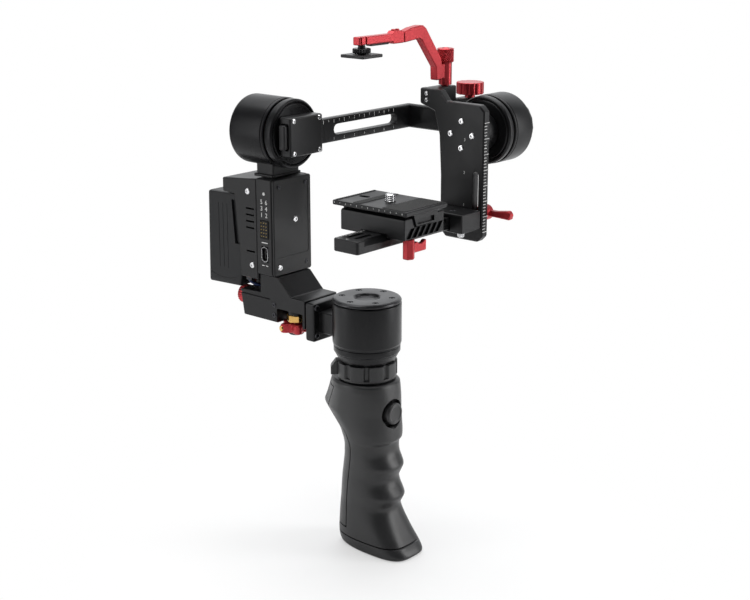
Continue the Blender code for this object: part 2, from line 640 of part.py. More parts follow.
# --- roll motor, roll arm and the slide for the tilt motor ------------------------
def build_roll():
    at = (0.0, ROLL_Z)
    housing = turned("roll_motor_housing", "black_anodised", "Y", at,
                     [(0, 98.6), (20.8, 98.6), (ROLL_RADIUS, 97.0), (ROLL_RADIUS, 67.7),
                      (20.7, 67.7), (20.7, 93.5), (6.5, 93.5), (6.5, 70.0), (5.0, 70.0),
                      (5.0, 92.0), (0, 92.0)])
    neck = box("roll_neck", None, (-12.0, 12.0), (69.0, 84.0),
               (BOX_TOP + GAP, ROLL_Z - 21.6), 0.8)
    lip = box("roll_neck_lip", None, (-13.2, 13.2), (68.6, 85.2),
              (BOX_TOP + GAP, BOX_TOP + 2.2), 0.4)
    join(housing, neck, lip)
    stator = turned("roll_stator", "copper", "Y", at,
                    [(17.0, 90.0), (17.0, 73.0), (6.9, 73.0), (6.9, 90.0)],
                    closed=True, steps=SMALL_STEPS)
    bearing = turned("roll_bearing", "steel", "Y", at,
                     [(4.7, 76.0), (4.7, 71.0), (2.8, 71.0), (2.8, 76.0)],
                     closed=True, steps=16)
    carry(bpy.data.objects["arm_slide_axis"], housing, stator, bearing)

    rotor = turned("roll_rotor", "black_anodised", "Y", at,
                   [(0, 90.0), (2.4, 90.0), (2.4, 67.2), (21.4, 67.2), (22.2, 66.4),
                    (22.2, 61.4), (21.2, 60.4), (0, 60.4)])
    clamp = box("roll_clamp", "black_anodised", (-15.0, 15.0), (50.2, 60.1),
                (251.5, 276.5), 1.2, 2)
    sleeve = box("roll_clamp_sleeve", None, (-20.0, 20.0), (52.5 - SLIDE_GAP, 58.0 + SLIDE_GAP),
                 (256.0 - SLIDE_GAP, 272.0 + SLIDE_GAP))
    cut(clamp, sleeve)
    carry(pivot("roll_axis", (0, 60.0, ROLL_Z)), rotor, clamp)

    arm = box("roll_arm", "black_anodised", (-18.0, 110.0), (52.5, 58.0), (256.0, 272.0),
              1.2, 2)
    side_bar = box("roll_arm_side", None, (105.6, 110.0), (5.8, 57.0), (256.0, 272.0), 0.8)
    join(arm, side_bar)
    window = slab("roll_arm_window", None, "Y", rounded((28.0, 260.5), (92.0, 267.5), 3.4),
                  (40.0, 70.0))
    cut(arm, window)
    clamp_block = box("tilt_slide_clamp", "black_anodised", (110.3, 124.0), (6.0, 19.5),
                      (250.6, 279.0), 1.2, 2)
    sleeve = box("tilt_clamp_sleeve", None, (114.3 - SLIDE_GAP, 119.3 + SLIDE_GAP),
                 (0.0, 25.0), (256.0 - SLIDE_GAP, 272.0 + SLIDE_GAP))
    thread = rod("tilt_clamp_thread", None, "Z", TILT_KNOB_AT, (270.0, 285.0), 1.8, 12)
    cut(clamp_block, sleeve, thread)
    carry(pivot("roll_arm_slide", (0, 55.0, ROLL_Z)), arm, clamp_block)

    knob = slab("tilt_clamp_knob", "red_anodised", "Z",
                shifted(lobed(8.9, 0.4, 12, 36), *TILT_KNOB_AT), (281.9, 289.9), 0.9)
    neck = rod("tilt_knob_neck", None, "Z", TILT_KNOB_AT, (279.4, 282.8), 3.7, 20)
    stud = rod("tilt_knob_stud", None, "Z", TILT_KNOB_AT, (273.2, 282.0), 1.4, 12)
    join(knob, neck, stud)
    carry(pivot("tilt_knob_axis", (*TILT_KNOB_AT, 285.0)), knob)


# --- tilt motor and the height plate ----------------------------------------------
def build_tilt():
    at = (TILT_Y, ROLL_Z)
    half = 8.0
    reach = 19.0
    edge_angle = math.degrees(math.asin(half / reach))
    outline = arc(at, reach, edge_angle, 360 - edge_angle, 16)
    outline += arc((46.0 - 3.0, ROLL_Z - half + 3.0), 3.0, -90, 0, 3)
    outline += arc((46.0 - 3.0, ROLL_Z + half - 3.0), 3.0, 0, 90, 3)
    bar = slab("tilt_arm", "black_anodised", "X", outline, (114.3, 119.3), 0.6)
    housing = turned("tilt_motor_housing", "black_anodised", "X", at,
                     [(0, 114.0), (20.8, 114.0), (ROLL_RADIUS, 112.4), (ROLL_RADIUS, 94.4),
                      (20.7, 94.4), (20.7, 110.4), (6.5, 110.4), (6.5, 97.4), (5.0, 97.4),
                      (5.0, 109.0), (0, 109.0)])
    stator = turned("tilt_stator", "copper", "X", at,
                    [(17.0, 108.4), (17.0, 98.0), (6.9, 98.0), (6.9, 108.4)],
                    closed=True, steps=SMALL_STEPS)
    carry(pivot("tilt_slide_axis", (117.0, 12.0, ROLL_Z)), bar, housing, stator)

    rotor = turned("tilt_rotor", "black_anodised", "X", at,
                   [(0, 107.0), (2.4, 107.0), (2.4, 94.0), (21.4, 94.0), (22.2, 93.2),
                    (22.2, 89.4), (21.2, 88.4), (0, 88.4)])
    x0, x1 = PLATE_X
    outline = [(-36.0, 196.0), (-10.0, 196.0), (-5.5, 200.5), (-5.5, 236.0),
               (-4.0, 262.0), (0.0, 277.0), (12.0, 281.0), (12.0, 291.0), (-4.0, 291.0),
               (-10.0, 284.0), (-36.0, 284.0), (-40.0, 280.0), (-40.0, 200.0)]
    plate = slab("height_plate", "black_anodised", "X", outline, (x0, x1), 0.8)
    hub = rod("height_plate_hub", None, "X", at, (x1 - 2.0, 88.1), 13.0, 32, 0.6)
    lever_y, lever_z = HEIGHT_LEVER_AT
    slot_bottom = lever_z + HEIGHT_TRAVEL[0] - 2.5
    slot_top = lever_z + HEIGHT_TRAVEL[1] + 4.0
    slot = slab("height_slot", None, "X",
                rounded((lever_y - 2.2, slot_bottom), (lever_y + 2.2, slot_top), 2.1),
                (x0 - 4.0, x1 + 4.0))
    join(plate, hub)
    cut(plate, slot)
    post = box("clamp_post", "black_anodised", (x1 + GAP, 92.0), (2.0, 12.0),
               (280.4, 290.8), 0.9, 2)
    post_bore = rod("clamp_post_bore", None, "Z", CLAMP_SCREW_AT, (270.0, 300.0), 2.6, 20)
    cut(post, post_bore)
    carry(pivot("tilt_axis", (90.0, TILT_Y, ROLL_Z)), rotor, plate, post)


# --- camera stage -----------------------------------------------------------------
def build_stage():
    carriage = box("height_carriage", "black_anodised", (46.0, PLATE_X[0] - GAP),
                   (-39.0, -6.0), (205.0, 217.4), 1.0, 2)
    room = box("bar_room", None, (40.0, 61.0), (BAR_Y[0] - GAP, BAR_Y[1] + GAP),
               (BAR_Z[0] - GAP, BAR_Z[1] + GAP))
    lever_bore = rod("lever_bore", None, "X", HEIGHT_LEVER_AT, (56.0, 70.0), 1.9, 12)
    screw_bore = rod("carriage_screw_bore", None, "Z", (50.5, -34.8), (200.0, 211.0), 1.6, 12)
    cut(carriage, room, lever_bore, screw_bore)
    left, right, corner = -41.7, 60.7, 1.2
    bar_outline = [(left + corner, BAR_Y[0]), (right, BAR_Y[0]), (right, BAR_Y[1]),
                   (left + corner, BAR_Y[1]), (left, BAR_Y[1] - corner),
                   (left, BAR_Y[0] + corner)]
    bar = slab("lateral_bar", "black_anodised", "Z", bar_outline, BAR_Z, 0.6)
    scoop = rod("bar_scoop", None, "X", (BAR_Y[0] - 4.6, BAR_Z[1] + 3.6), (-35.5, 43.0),
                8.6, 32)
    cut(bar, scoop)
    screw = turned("carriage_screw", "steel", "Z", (50.5, -34.8),
                   [(0, 209.0), (1.25, 209.0), (1.25, 204.7), (1.9, 204.7), (2.0, 204.4),
                    (2.0, 202.4), (1.7, 202.1), (0, 202.1)], steps=12)
    carry(pivot("height_travel", (60.0, -22.0, 210.0)), carriage, bar, screw)

    y, z = HEIGHT_LEVER_AT
    lever = rod("height_lever", "red_anodised", "X", HEIGHT_LEVER_AT,
                (PLATE_X[1] + GAP, 80.2), 5.0, 24, 0.6)
    handle = slab("height_lever_handle", None, "X",
                  [(y + 2.0, z + 2.0), (y - 9.0, z + 2.0), (y - 19.0, z + 3.4),
                   (y - 21.0, z + 1.0), (y - 20.0, z - 2.4), (y - 9.0, z - 2.0),
                   (y + 2.0, z - 2.0)], (75.4, 79.8), 0.6)
    stud = rod("height_lever_stud", None, "X", HEIGHT_LEVER_AT, (58.0, 74.0), 1.5, 12)
    join(lever, handle, stud)
    carry(pivot("height_lever_axis", (76.0, y, z)), lever)


def build_release_base():
    half = 19.0
    groove = 9.4
    y0, y1 = -43.0, 8.0
    z0, z1 = 212.6, 225.7
    outline = [(-half, z0), (half, z0), (half, z1 - 1.0), (half - 1.0, z1), (groove + 2.2, z1),
               (groove, 220.0), (-groove, 220.0), (-groove - 2.2, z1),
               (-half + 1.0, z1), (-half, z1 - 1.0)]
    base = slab("release_base", "black_anodised", "Y", shifted(outline, CAMERA_X, 0.0),
                (y0, y1), 0.5)
    bar_groove = box("bar_groove", None, (-30, 30), (BAR_Y[0] - SLIDE_GAP, BAR_Y[1] + SLIDE_GAP),
                     (200.0, BAR_Z[1] + SLIDE_GAP))
    cut(base, bar_groove)
    ribs = 6
    pitch = 5.4
    half_pocket = 2.2
    lean = 2.2
    for i in range(ribs):
        x = CAMERA_X + (i - (ribs - 1) / 2) * pitch
        pocket = slab("rib_pocket_%d" % i, None, "Y",
                      [(x - half_pocket - lean, z0 + 0.7), (x + half_pocket - lean, z0 + 0.7),
                       (x + half_pocket + lean, 219.4), (x - half_pocket + lean, 219.4)],
                      (y0 - 3.0, y0 + 1.6))
        cut(base, pocket)
    lever_bore = rod("release_bore", None, "Z", RELEASE_LEVER_AT, (205.0, 217.6), 1.9, 12)
    cut(base, lever_bore)
    carry(pivot("lateral_travel", (0, -20.0, 214.0)), base)

    x, y = RELEASE_LEVER_AT
    lever = rod("release_lever", "red_anodised", "Z", RELEASE_LEVER_AT, (199.6, 212.2),
                3.9, 6, 0.5)
    flag_outline = ([(x + 1.0, 202.8), (x + 15.2, 202.8), (x + 15.4, 209.4)]
                    + arc((x + 10.2, 212.0), 4.2, -38, -142, 5) + [(x + 1.0, 208.8)])
    flag = slab("release_flag", None, "Y", flag_outline, (y - 1.4, y + 1.4), 0.4)
    stud = rod("release_stud", None, "Z", RELEASE_LEVER_AT, (210.0, 217.0), 1.5, 12)
    join(lever, flag, stud)
    carry(pivot("release_lever_axis", (x, y, 206.0)), lever)

    rail = groove - SLIDE_GAP
    low, flare, step, top = 220.4, 226.1, 227.4, 230.4
    plate = box("camera_plate", "black_anodised", (CAMERA_X - 20.0, CAMERA_X + 20.0),
                (-45.0, 14.0), (step, top), 0.6)
    profile = [(-rail, low), (rail, low), (rail + 2.2, flare), (rail + 2.2, step + 1.0),
               (-rail - 2.2, step + 1.0), (-rail - 2.2, flare)]
    dovetail = slab("camera_dovetail", None, "Y", shifted(profile, CAMERA_X, 0.0),
                    (-44.2, 13.0))
    join(plate, dovetail)
    pocket = box("dovetail_pocket", None, (CAMERA_X - 8.0, CAMERA_X + 8.0), (-50.0, -42.6),
                 (221.4, 224.8))
    screw_at = (CAMERA_X, CAMERA_SCREW_Y)
    hole = turned("camera_screw_hole", None, "Z", screw_at,
                  [(0, 235.0), (3.6, 235.0), (3.6, 224.6), (6.6, 224.6), (6.6, 215.0),
                   (0, 215.0)], steps=20)
    pin_slot = slab("camera_plate_slot", None, "Z",
                    shifted(rounded((-2.0, 1.0), (2.0, 9.0), 1.9), CAMERA_X, 0.0),
                    (215.0, 235.0))
    cut(plate, pocket, hole, pin_slot)
    carry(pivot("plate_travel", (0, -20.0, 226.0)), plate)

    screw = turned("camera_screw", "steel", "Z", screw_at,
                   [(0, 235.2), (2.7, 235.2), (3.2, 234.6), (3.2, 224.2), (6.2, 224.2),
                    (6.2, 221.0), (0, 221.0)], steps=16)
    carry(pivot("camera_screw_axis", (*screw_at, 226.0)), screw)


# --- top clamp --------------------------------------------------------------------
def build_top_clamp():
    y = (CLAMP_Y - 2.8, CLAMP_Y + 2.8)
    bar_outline = [(-1.5, 323.4), (29.5, 323.4), (30.5, 322.0), (40.8, 322.0), (40.8, 328.6),
                   (38.6, 329.9), (31.6, 329.9), (29.8, 328.4), (-1.5, 328.4)]
    bar = slab("top_bar", "red_anodised", "Y", bar_outline, y, 0.5)
    for i, x in enumerate((-0.4, 4.2)):
        cut(bar, box("bar_cut_%d" % i, None, (x, x + 1.2), (y[0] - 3, y[0] + 1.4),
                     (320.0, 330.0)))
    x, screw_y = CLAMP_SCREW_AT
    arm_outline = [(41.1, 322.0), (41.1, 328.8), (48.0, 330.6), (56.5, 331.6),
                   (60.0, 331.4), (63.0, 329.4), (78.2, 309.6), (79.6, 304.6),
                   (79.6, 295.4), (73.6, 295.4), (73.2, 304.0), (58.6, 322.0),
                   (55.4, 323.4), (48.0, 322.6)]
    arm = slab("top_arm", "red_anodised", "Y", arm_outline, y, 0.6)
    web = box("clamp_web", None, (76.0, x), (CLAMP_Y - 2.3, CLAMP_Y + 2.3), (296.4, 305.0))
    sleeve = rod("clamp_sleeve", None, "Z", CLAMP_SCREW_AT, (291.6, 305.7), 4.3, 24)
    sleeve_bore = rod("clamp_sleeve_bore", None, "Z", CLAMP_SCREW_AT, (285.0, 315.0), 2.6, 20)
    join(arm, web, sleeve)
    cut(arm, sleeve_bore)

    shoe_at = (CAMERA_X, CLAMP_Y)
    shoe = box("shoe_foot", "black_anodised", (CAMERA_X - 9.2, CAMERA_X + 9.2), (-2.2, 16.2),
               (316.0, 318.0), 0.4)
    stem = rod("shoe_stem", None, "Z", shoe_at, (317.0, 323.1), 2.3, 16)
    join(shoe, stem)
    carry(pivot("top_clamp_travel", (80.0, CLAMP_Y, 300.0)), bar, arm, shoe)

    wheel = slab("shoe_wheel", "black_anodised", "Z",
                 shifted(lobed(5.4, 0.2, 16, 32), *shoe_at), (318.5, 321.5))
    wheel_bore = rod("shoe_wheel_bore", None, "Z", shoe_at, (315.0, 325.0), 2.8, 16)
    cut(wheel, wheel_bore)
    carry(pivot("shoe_wheel_axis", (*shoe_at, 320.0)), wheel)

    screw = slab("top_clamp_screw", "red_anodised", "Z",
                 shifted(lobed(5.6, 0.18, 18, 36), x, screw_y), (306.0, 315.0))
    shank = rod("top_clamp_shank", None, "Z", CLAMP_SCREW_AT, (283.0, 307.0), 2.2, 20, 0.6)
    join(screw, shank)
    carry(pivot("top_clamp_screw_axis", (x, screw_y, 300.0)), screw)


build_grip()
build_collar()
build_pan_motor()
build_arm()
build_controller()
build_roll()
build_tilt()
build_stage()
build_release_base()
build_top_clamp()
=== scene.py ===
"""Looks of the hand-held three-axis camera gimbal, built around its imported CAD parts.

The gimbal's lengths are in millimetres, which MM turns into metres, and the studio's are in
metres.  +Z is up, -Y is the way the camera looks, +X is the camera's left-hand side, and
Z = 0 is the grip's base.
"""

import math

import bmesh
import bpy
from mathutils import Matrix, Vector


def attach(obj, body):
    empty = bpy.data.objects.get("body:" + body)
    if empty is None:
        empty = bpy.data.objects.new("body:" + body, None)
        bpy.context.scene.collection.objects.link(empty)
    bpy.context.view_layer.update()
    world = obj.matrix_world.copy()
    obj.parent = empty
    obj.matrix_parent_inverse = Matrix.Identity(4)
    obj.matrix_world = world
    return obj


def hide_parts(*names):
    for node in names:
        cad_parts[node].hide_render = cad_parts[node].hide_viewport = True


MM = 0.001

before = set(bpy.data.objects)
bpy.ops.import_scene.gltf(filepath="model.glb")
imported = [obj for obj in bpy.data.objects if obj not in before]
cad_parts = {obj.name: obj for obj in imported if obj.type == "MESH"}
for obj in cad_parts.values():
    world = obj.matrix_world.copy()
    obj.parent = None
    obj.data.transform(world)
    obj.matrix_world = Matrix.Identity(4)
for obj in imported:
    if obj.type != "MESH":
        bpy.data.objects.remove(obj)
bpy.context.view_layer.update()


# --- materials ---
def value_range(nodes, source, result, ease="LINEAR"):
    """A node that maps one (low, high) range of values onto another."""
    node = nodes.new("ShaderNodeMapRange")
    node.interpolation_type = ease
    node.inputs["From Min"].default_value, node.inputs["From Max"].default_value = source
    node.inputs["To Min"].default_value, node.inputs["To Max"].default_value = result
    return node


def surface(name, colour, roughness, metallic=0.0, grain=0.4, depth=0.02, stretch=(1, 1, 1),
            tone=0.12, spread=0.07, coat=0.0, shine=0.5):
    """A Principled material broken up by fine grain and soft smudges.

    grain is the size of the fine texture and depth its height, both in millimetres.
    stretch squeezes the grain along an axis, for brushed or turned metal.
    """
    material = bpy.data.materials.new(name)
    material.use_nodes = True
    nodes = material.node_tree.nodes
    link = material.node_tree.links.new
    shader = nodes["Principled BSDF"]
    shader.inputs["Metallic"].default_value = metallic
    shader.inputs["Coat Weight"].default_value = coat
    shader.inputs["Coat Roughness"].default_value = 0.25
    shader.inputs["Specular IOR Level"].default_value = shine

    place = nodes.new("ShaderNodeTexCoord")
    squeeze = nodes.new("ShaderNodeMapping")
    squeeze.inputs["Scale"].default_value = stretch
    link(place.outputs["Object"], squeeze.inputs["Vector"])
    fine = nodes.new("ShaderNodeTexNoise")
    fine.inputs["Scale"].default_value = 1 / (grain * MM)
    fine.inputs["Detail"].default_value = 3.0
    link(squeeze.outputs["Vector"], fine.inputs["Vector"])
    broad = nodes.new("ShaderNodeTexNoise")
    broad.inputs["Scale"].default_value = 1 / (26 * MM)
    broad.inputs["Detail"].default_value = 5.0
    broad.inputs["Distortion"].default_value = 0.6
    link(place.outputs["Object"], broad.inputs["Vector"])

    blend = nodes.new("ShaderNodeMath")
    blend.operation = "MULTIPLY_ADD"
    blend.inputs[1].default_value = 0.35
    link(fine.outputs["Fac"], blend.inputs[0])
    link(broad.outputs["Fac"], blend.inputs[2])
    shade = nodes.new("ShaderNodeValToRGB")
    shade.color_ramp.elements[0].position = 0.45
    shade.color_ramp.elements[1].position = 0.95
    shade.color_ramp.elements[0].color = (*[c * (1 - tone) for c in colour], 1)
    shade.color_ramp.elements[1].color = (*[min(1, c * (1 + tone)) for c in colour], 1)
    link(blend.outputs["Value"], shade.inputs["Fac"])
    link(shade.outputs["Color"], shader.inputs["Base Color"])

    gloss = value_range(nodes, (0.45, 0.95), (roughness - spread, roughness + spread))
    link(blend.outputs["Value"], gloss.inputs["Value"])
    link(gloss.outputs["Result"], shader.inputs["Roughness"])

    bump = nodes.new("ShaderNodeBump")
    bump.inputs["Strength"].default_value = 0.6
    bump.inputs["Distance"].default_value = depth * MM
    link(fine.outputs["Fac"], bump.inputs["Height"])
    link(bump.outputs["Normal"], shader.inputs["Normal"])
    return material


TURNED = 40                  # how much finer the grain is along a turned part's axis
BLACK = (0.009, 0.009, 0.010)
# look: (material, the record's material slot)
LOOKS = {
    "grip": (surface("grip_plastic", (0.017, 0.017, 0.018), 0.40, grain=0.55, depth=0.03),
             "black_plastic"),
    "rubber": (surface("soft_rubber", (0.012, 0.012, 0.012), 0.72, grain=0.3, depth=0.04),
               "black_plastic"),
    "control": (surface("control_plastic", (0.009, 0.009, 0.010), 0.40, grain=0.35,
                        shine=0.32), "controller_plastic"),
    "battery": (surface("battery_case", (0.011, 0.0115, 0.013), 0.44, grain=0.4, depth=0.025,
                        shine=0.26), "battery_plastic"),
    "black": (surface("black_blasted", BLACK, 0.40, 0.45, grain=0.3), "black_anodised"),
    "black_x": (surface("black_turned_x", BLACK, 0.34, 0.5, 2.5, 0.012, (TURNED, 1, 1)),
                "black_anodised"),
    "black_y": (surface("black_turned_y", BLACK, 0.32, 0.5, 2.5, 0.012, (1, TURNED, 1),
                        shine=0.26), "black_anodised"),
    "black_z": (surface("black_turned_z", BLACK, 0.34, 0.5, 2.5, 0.012, (1, 1, TURNED)),
                "black_anodised"),
    # The pan cap gets a lighter, more metallic copy of the black anodise: painted sheen that
    # stands for the top light on its face.
    "black_cap": (surface("black_cap_painted_sheen", (0.055, 0.055, 0.058), 0.36, 0.8, 2.5, 0.012,
                          (1, 1, TURNED)), "black_anodised"),
    "red": (surface("red_blasted", (0.42, 0.028, 0.036), 0.33, 0.60, grain=0.25, depth=0.01),
            "red_anodised"),
    "brass": (surface("brass_machined", (0.76, 0.47, 0.15), 0.26, 1.0, 1.5, 0.01, (1, 1, 20)),
              "brass"),
    "gold": (surface("gold_pins", (0.50, 0.37, 0.16), 0.34, 1.0, depth=0.005), "brass"),
    "steel": (surface("steel_bright", (0.66, 0.66, 0.67), 0.25, 1.0, 1.2, 0.008, (1, 1, 12)),
              "steel"),
    "dark_steel": (surface("steel_black_oxide", (0.05, 0.05, 0.055), 0.36, 0.9), "steel"),
    "copper": (surface("copper_winding", (0.62, 0.27, 0.12), 0.36, 1.0, 1.0, 0.05, (1, 1, 9)),
               "copper"),
    "board": (surface("board_lacquer", (0.010, 0.110, 0.045), 0.38, grain=1.2, coat=0.5),
              "circuit_board"),
    "cable": (surface("cable_black", (0.012, 0.012, 0.014), 0.45, grain=0.5), "cable_jacket"),
    "cable_blue": (surface("cable_blue", (0.012, 0.030, 0.110), 0.42, grain=0.5),
                   "cable_jacket"),
    "cable_red": (surface("cable_red", (0.200, 0.012, 0.014), 0.42, grain=0.5),
                  "cable_jacket"),
    "ink": (surface("white_ink", (0.72, 0.72, 0.71), 0.55, grain=0.2, depth=0.004), None),
}


def piece(obj, body, look, *nodes):
    """Give a finished piece its material and the body it moves with.

    nodes are the CAD nodes it stands for.
    """
    material, slot = LOOKS[look]
    obj.data.materials.clear()
    obj.data.materials.append(material)
    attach(obj, body)
    if nodes:
        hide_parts(*nodes)
    return obj


# --- shape building ---
def put(name, mesh):
    obj = bpy.data.objects.new(name, mesh)
    bpy.context.scene.collection.objects.link(obj)
    return obj


def closed_mesh(bm, name):
    bmesh.ops.recalc_face_normals(bm, faces=bm.faces)
    mesh = bpy.data.meshes.new(name)
    bm.to_mesh(mesh)
    bm.free()
    return mesh


def evaluated_mesh(obj):
    """The mesh that an object's curve or modifiers make."""
    bpy.context.view_layer.update()
    graph = bpy.context.evaluated_depsgraph_get()
    return bpy.data.meshes.new_from_object(obj.evaluated_get(graph))


def baked(obj):
    """Turn an object's modifiers into mesh."""
    mesh = evaluated_mesh(obj)
    obj.modifiers.clear()
    obj.data = mesh
    return obj


def combine(obj, operation, others):
    for other in others:
        mod = obj.modifiers.new("combine", "BOOLEAN")
        mod.operation = operation
        mod.solver = "EXACT"
        mod.object = other
    baked(obj)
    for other in others:
        bpy.data.objects.remove(other)
    return obj


def cut(obj, *cutters):
    return combine(obj, "DIFFERENCE", cutters)


def join(obj, *others):
    return combine(obj, "UNION", others)


def soften(obj, width, segments=3, angle=28.0):
    """Round an object's sharp edges."""
    obj.data.shade_smooth()
    mod = obj.modifiers.new("edges", "BEVEL")
    mod.width = width * MM
    mod.segments = segments
    mod.limit_method = "ANGLE"
    mod.angle_limit = math.radians(angle)
    mod.use_clamp_overlap = True
    flats = obj.modifiers.new("flats", "WEIGHTED_NORMAL")
    flats.mode = "FACE_AREA"
    flats.weight = 100
    return obj


def crisp(obj, angle=32.0):
    """Smooth shading that breaks at hard corners."""
    obj.data.shade_smooth()
    obj.data.set_sharp_from_angle(angle=math.radians(angle))
    return obj


def refined(node, width=0.22, segments=2):
    """A finer copy of a CAD node: flat faces rejoined and edges rounded."""
    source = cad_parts[node].data
    bm = bmesh.new()
    corners = [bm.verts.new(v.co) for v in source.vertices]
    for polygon in source.polygons:
        bm.faces.new([corners[i] for i in polygon.vertices])
    bmesh.ops.remove_doubles(bm, verts=bm.verts, dist=0.002 * MM)
    bmesh.ops.dissolve_limit(bm, angle_limit=math.radians(0.6), verts=bm.verts,
                             edges=bm.edges)
    obj = put(node + "_body", closed_mesh(bm, node + "_body"))
    if width:
        soften(obj, width, segments)
    return obj


def refinished(node, body, look, width=0.22, segments=2):
    """A finer copy of a CAD node, finished and standing for it."""
    return piece(refined(node, width, segments), body, look, node)


def eased(path, radius, closed=False):
    """Round the corners of a path of (u, v) points."""
    count = len(path)
    rounded_path = []
    for i, point in enumerate(path):
        if not closed and i in (0, count - 1):
            rounded_path.append(point)
            continue
        here = Vector(point)
        before = Vector(path[i - 1]) - here
        after = Vector(path[(i + 1) % count]) - here
        reach = min(radius, before.length * 0.45, after.length * 0.45)
        start = here + before.normalized() * reach
        end = here + after.normalized() * reach
        for t in (0.0, 0.33, 0.67, 1.0):
            spot = start * (1 - t) ** 2 + here * 2 * t * (1 - t) + end * t ** 2
            rounded_path.append((spot.x, spot.y))
    return rounded_path


TURN_TO = {
    "X": Matrix.Rotation(math.radians(90), 4, "Y"),
    "Y": Matrix.Rotation(math.radians(-90), 4, "X"),
    "Z": Matrix.Identity(4),
}


def turned(name, axis, at, profile, closed=False, steps=96, ease=0.3, ripple=None):
    """A turned piece from a profile of (radius, position along the axis) points.

    An open profile starts and ends on the axis, and a closed one makes a ring.
    ripple(radius, height, angle) may return another radius, for knurls and lobes.
    """
    path = eased(profile, ease, closed) if ease else profile
    bm = bmesh.new()
    rings = []
    for radius, height in path:
        if radius < 1e-6:
            rings.append([bm.verts.new((0, 0, height))])
            continue
        ring = []
        for i in range(steps):
            angle = 2 * math.pi * i / steps
            reach = ripple(radius, height, angle) if ripple else radius
            ring.append(bm.verts.new((reach * math.cos(angle), reach * math.sin(angle),
                                      height)))
        rings.append(ring)
    pairs = list(zip(rings, rings[1:]))
    if closed:
        pairs.append((rings[-1], rings[0]))
    for first, second in pairs:
        for i in range(steps):
            j = i + 1
            corners = [first[i % len(first)], first[j % len(first)],
                       second[j % len(second)], second[i % len(second)]]
            bm.faces.new(list(dict.fromkeys(corners)))
    place = {"X": (0, at[0], at[1]), "Y": (at[0], 0, at[1]), "Z": (at[0], at[1], 0)}[axis]
    mesh = closed_mesh(bm, name)
    mesh.transform(Matrix.Scale(MM, 4) @ Matrix.Translation(place) @ TURN_TO[axis])
    return crisp(put(name, mesh))


def knurled(teeth, depth, rim):
    """A ripple of teeth on a turned piece, wherever its radius is at least rim."""
    def ripple(radius, height, angle):
        return radius + depth * math.cos(teeth * angle) if radius >= rim else radius

    return ripple


def add_block(bm, x, y, z):
    low = Vector((x[0], y[0], z[0])) * MM
    high = Vector((x[1], y[1], z[1])) * MM
    made = bmesh.ops.create_cube(bm, size=1.0)["verts"]
    bmesh.ops.scale(bm, vec=high - low, verts=made)
    bmesh.ops.translate(bm, vec=(high + low) / 2, verts=made)


def box(name, x, y, z):
    bm = bmesh.new()
    add_block(bm, x, y, z)
    return put(name, closed_mesh(bm, name))


def slab(name, axis, outline, along):
    """A flat outline with thickness along an axis.

    outline holds (Y, Z) pairs for axis X, (X, Z) for axis Y and (X, Y) for axis Z.
    """
    order = {"X": (2, 0, 1), "Y": (0, 2, 1), "Z": (0, 1, 2)}[axis]
    bm = bmesh.new()
    sides = []
    for level in along:
        points = [(u, v, level) for u, v in outline]
        sides.append([bm.verts.new([p[k] * MM for k in order]) for p in points])
    low, high = sides
    bm.faces.new(low)
    bm.faces.new(high[::-1])
    for i in range(len(low)):
        j = (i + 1) % len(low)
        bm.faces.new((low[i], high[i], high[j], low[j]))
    return put(name, closed_mesh(bm, name))


def arc(centre, radius, start, end, count):
    """Points on an arc, angles in degrees."""
    angles = [math.radians(start + (end - start) * i / count) for i in range(count + 1)]
    return [(centre[0] + radius * math.cos(a), centre[1] + radius * math.sin(a))
            for a in angles]


def ring_points(centre, radius, count, wave=None):
    """Points round a circle; wave(angle) adds to the radius."""
    points = []
    for i in range(count):
        angle = 2 * math.pi * i / count
        reach = radius + (wave(angle) if wave else 0.0)
        points.append((centre[0] + reach * math.cos(angle),
                       centre[1] + reach * math.sin(angle)))
    return points


def rod(name, axis, at, along, radius, sides=48):
    return slab(name, axis, ring_points(at, radius, sides), along)


def rounded(low, high, radius, count=6):
    """A rectangle with round corners."""
    corners = [((high[0] - radius, high[1] - radius), 0),
               ((low[0] + radius, high[1] - radius), 90),
               ((low[0] + radius, low[1] + radius), 180),
               ((high[0] - radius, low[1] + radius), 270)]
    return [p for centre, start in corners for p in arc(centre, radius, start, start + 90,
                                                        count)]


def aim(obj, at, toward):
    """Move a shape built about the Z axis so that it stands at a point, facing toward."""
    turn = Vector(toward).to_track_quat("Z", "Y").to_matrix().to_4x4()
    obj.data.transform(Matrix.Translation(Vector(at) * MM) @ turn)
    return obj


def screw(name, body, at, toward, radius, height=0.9, look="steel"):
    """A screw head with a hexagon socket, standing at a point."""
    head = turned(name, "Z", (0, 0), [(0, -0.4), (radius, -0.4), (radius, height * 0.6),
                                      (radius * 0.82, height), (0, height)], steps=48,
                  ease=0.2)
    cut(head, rod("key", "Z", (0, 0), (height * 0.25, height + 1), radius * 0.5, 6))
    crisp(head)
    return piece(aim(head, at, toward), body, look)


def screws(name, body, spots, toward, radius, height=0.9, look="steel"):
    """Equal screws, numbered from 0."""
    for i, spot in enumerate(spots):
        screw("%s_%d" % (name, i), body, spot, toward, radius, height, look)


def bars(name, body, look, spans):
    """Several small blocks as one piece, such as a scale's marks."""
    bm = bmesh.new()
    for x, y, z in spans:
        add_block(bm, x, y, z)
    return piece(put(name, closed_mesh(bm, name)), body, look)


def scale(name, body, steps, every, lengths, half, mark):
    """Printed marks: steps is (count, first, pitch), and every so many is a long one.

    mark(along, length) gives the three spans of one mark.
    """
    count, first, pitch = steps
    spans = []
    for i in range(count):
        at = first + i * pitch
        length = lengths[0] if i % every == 0 else lengths[1]
        spans.append(mark((at - half, at + half), length))
    bars(name, body, "ink", spans)


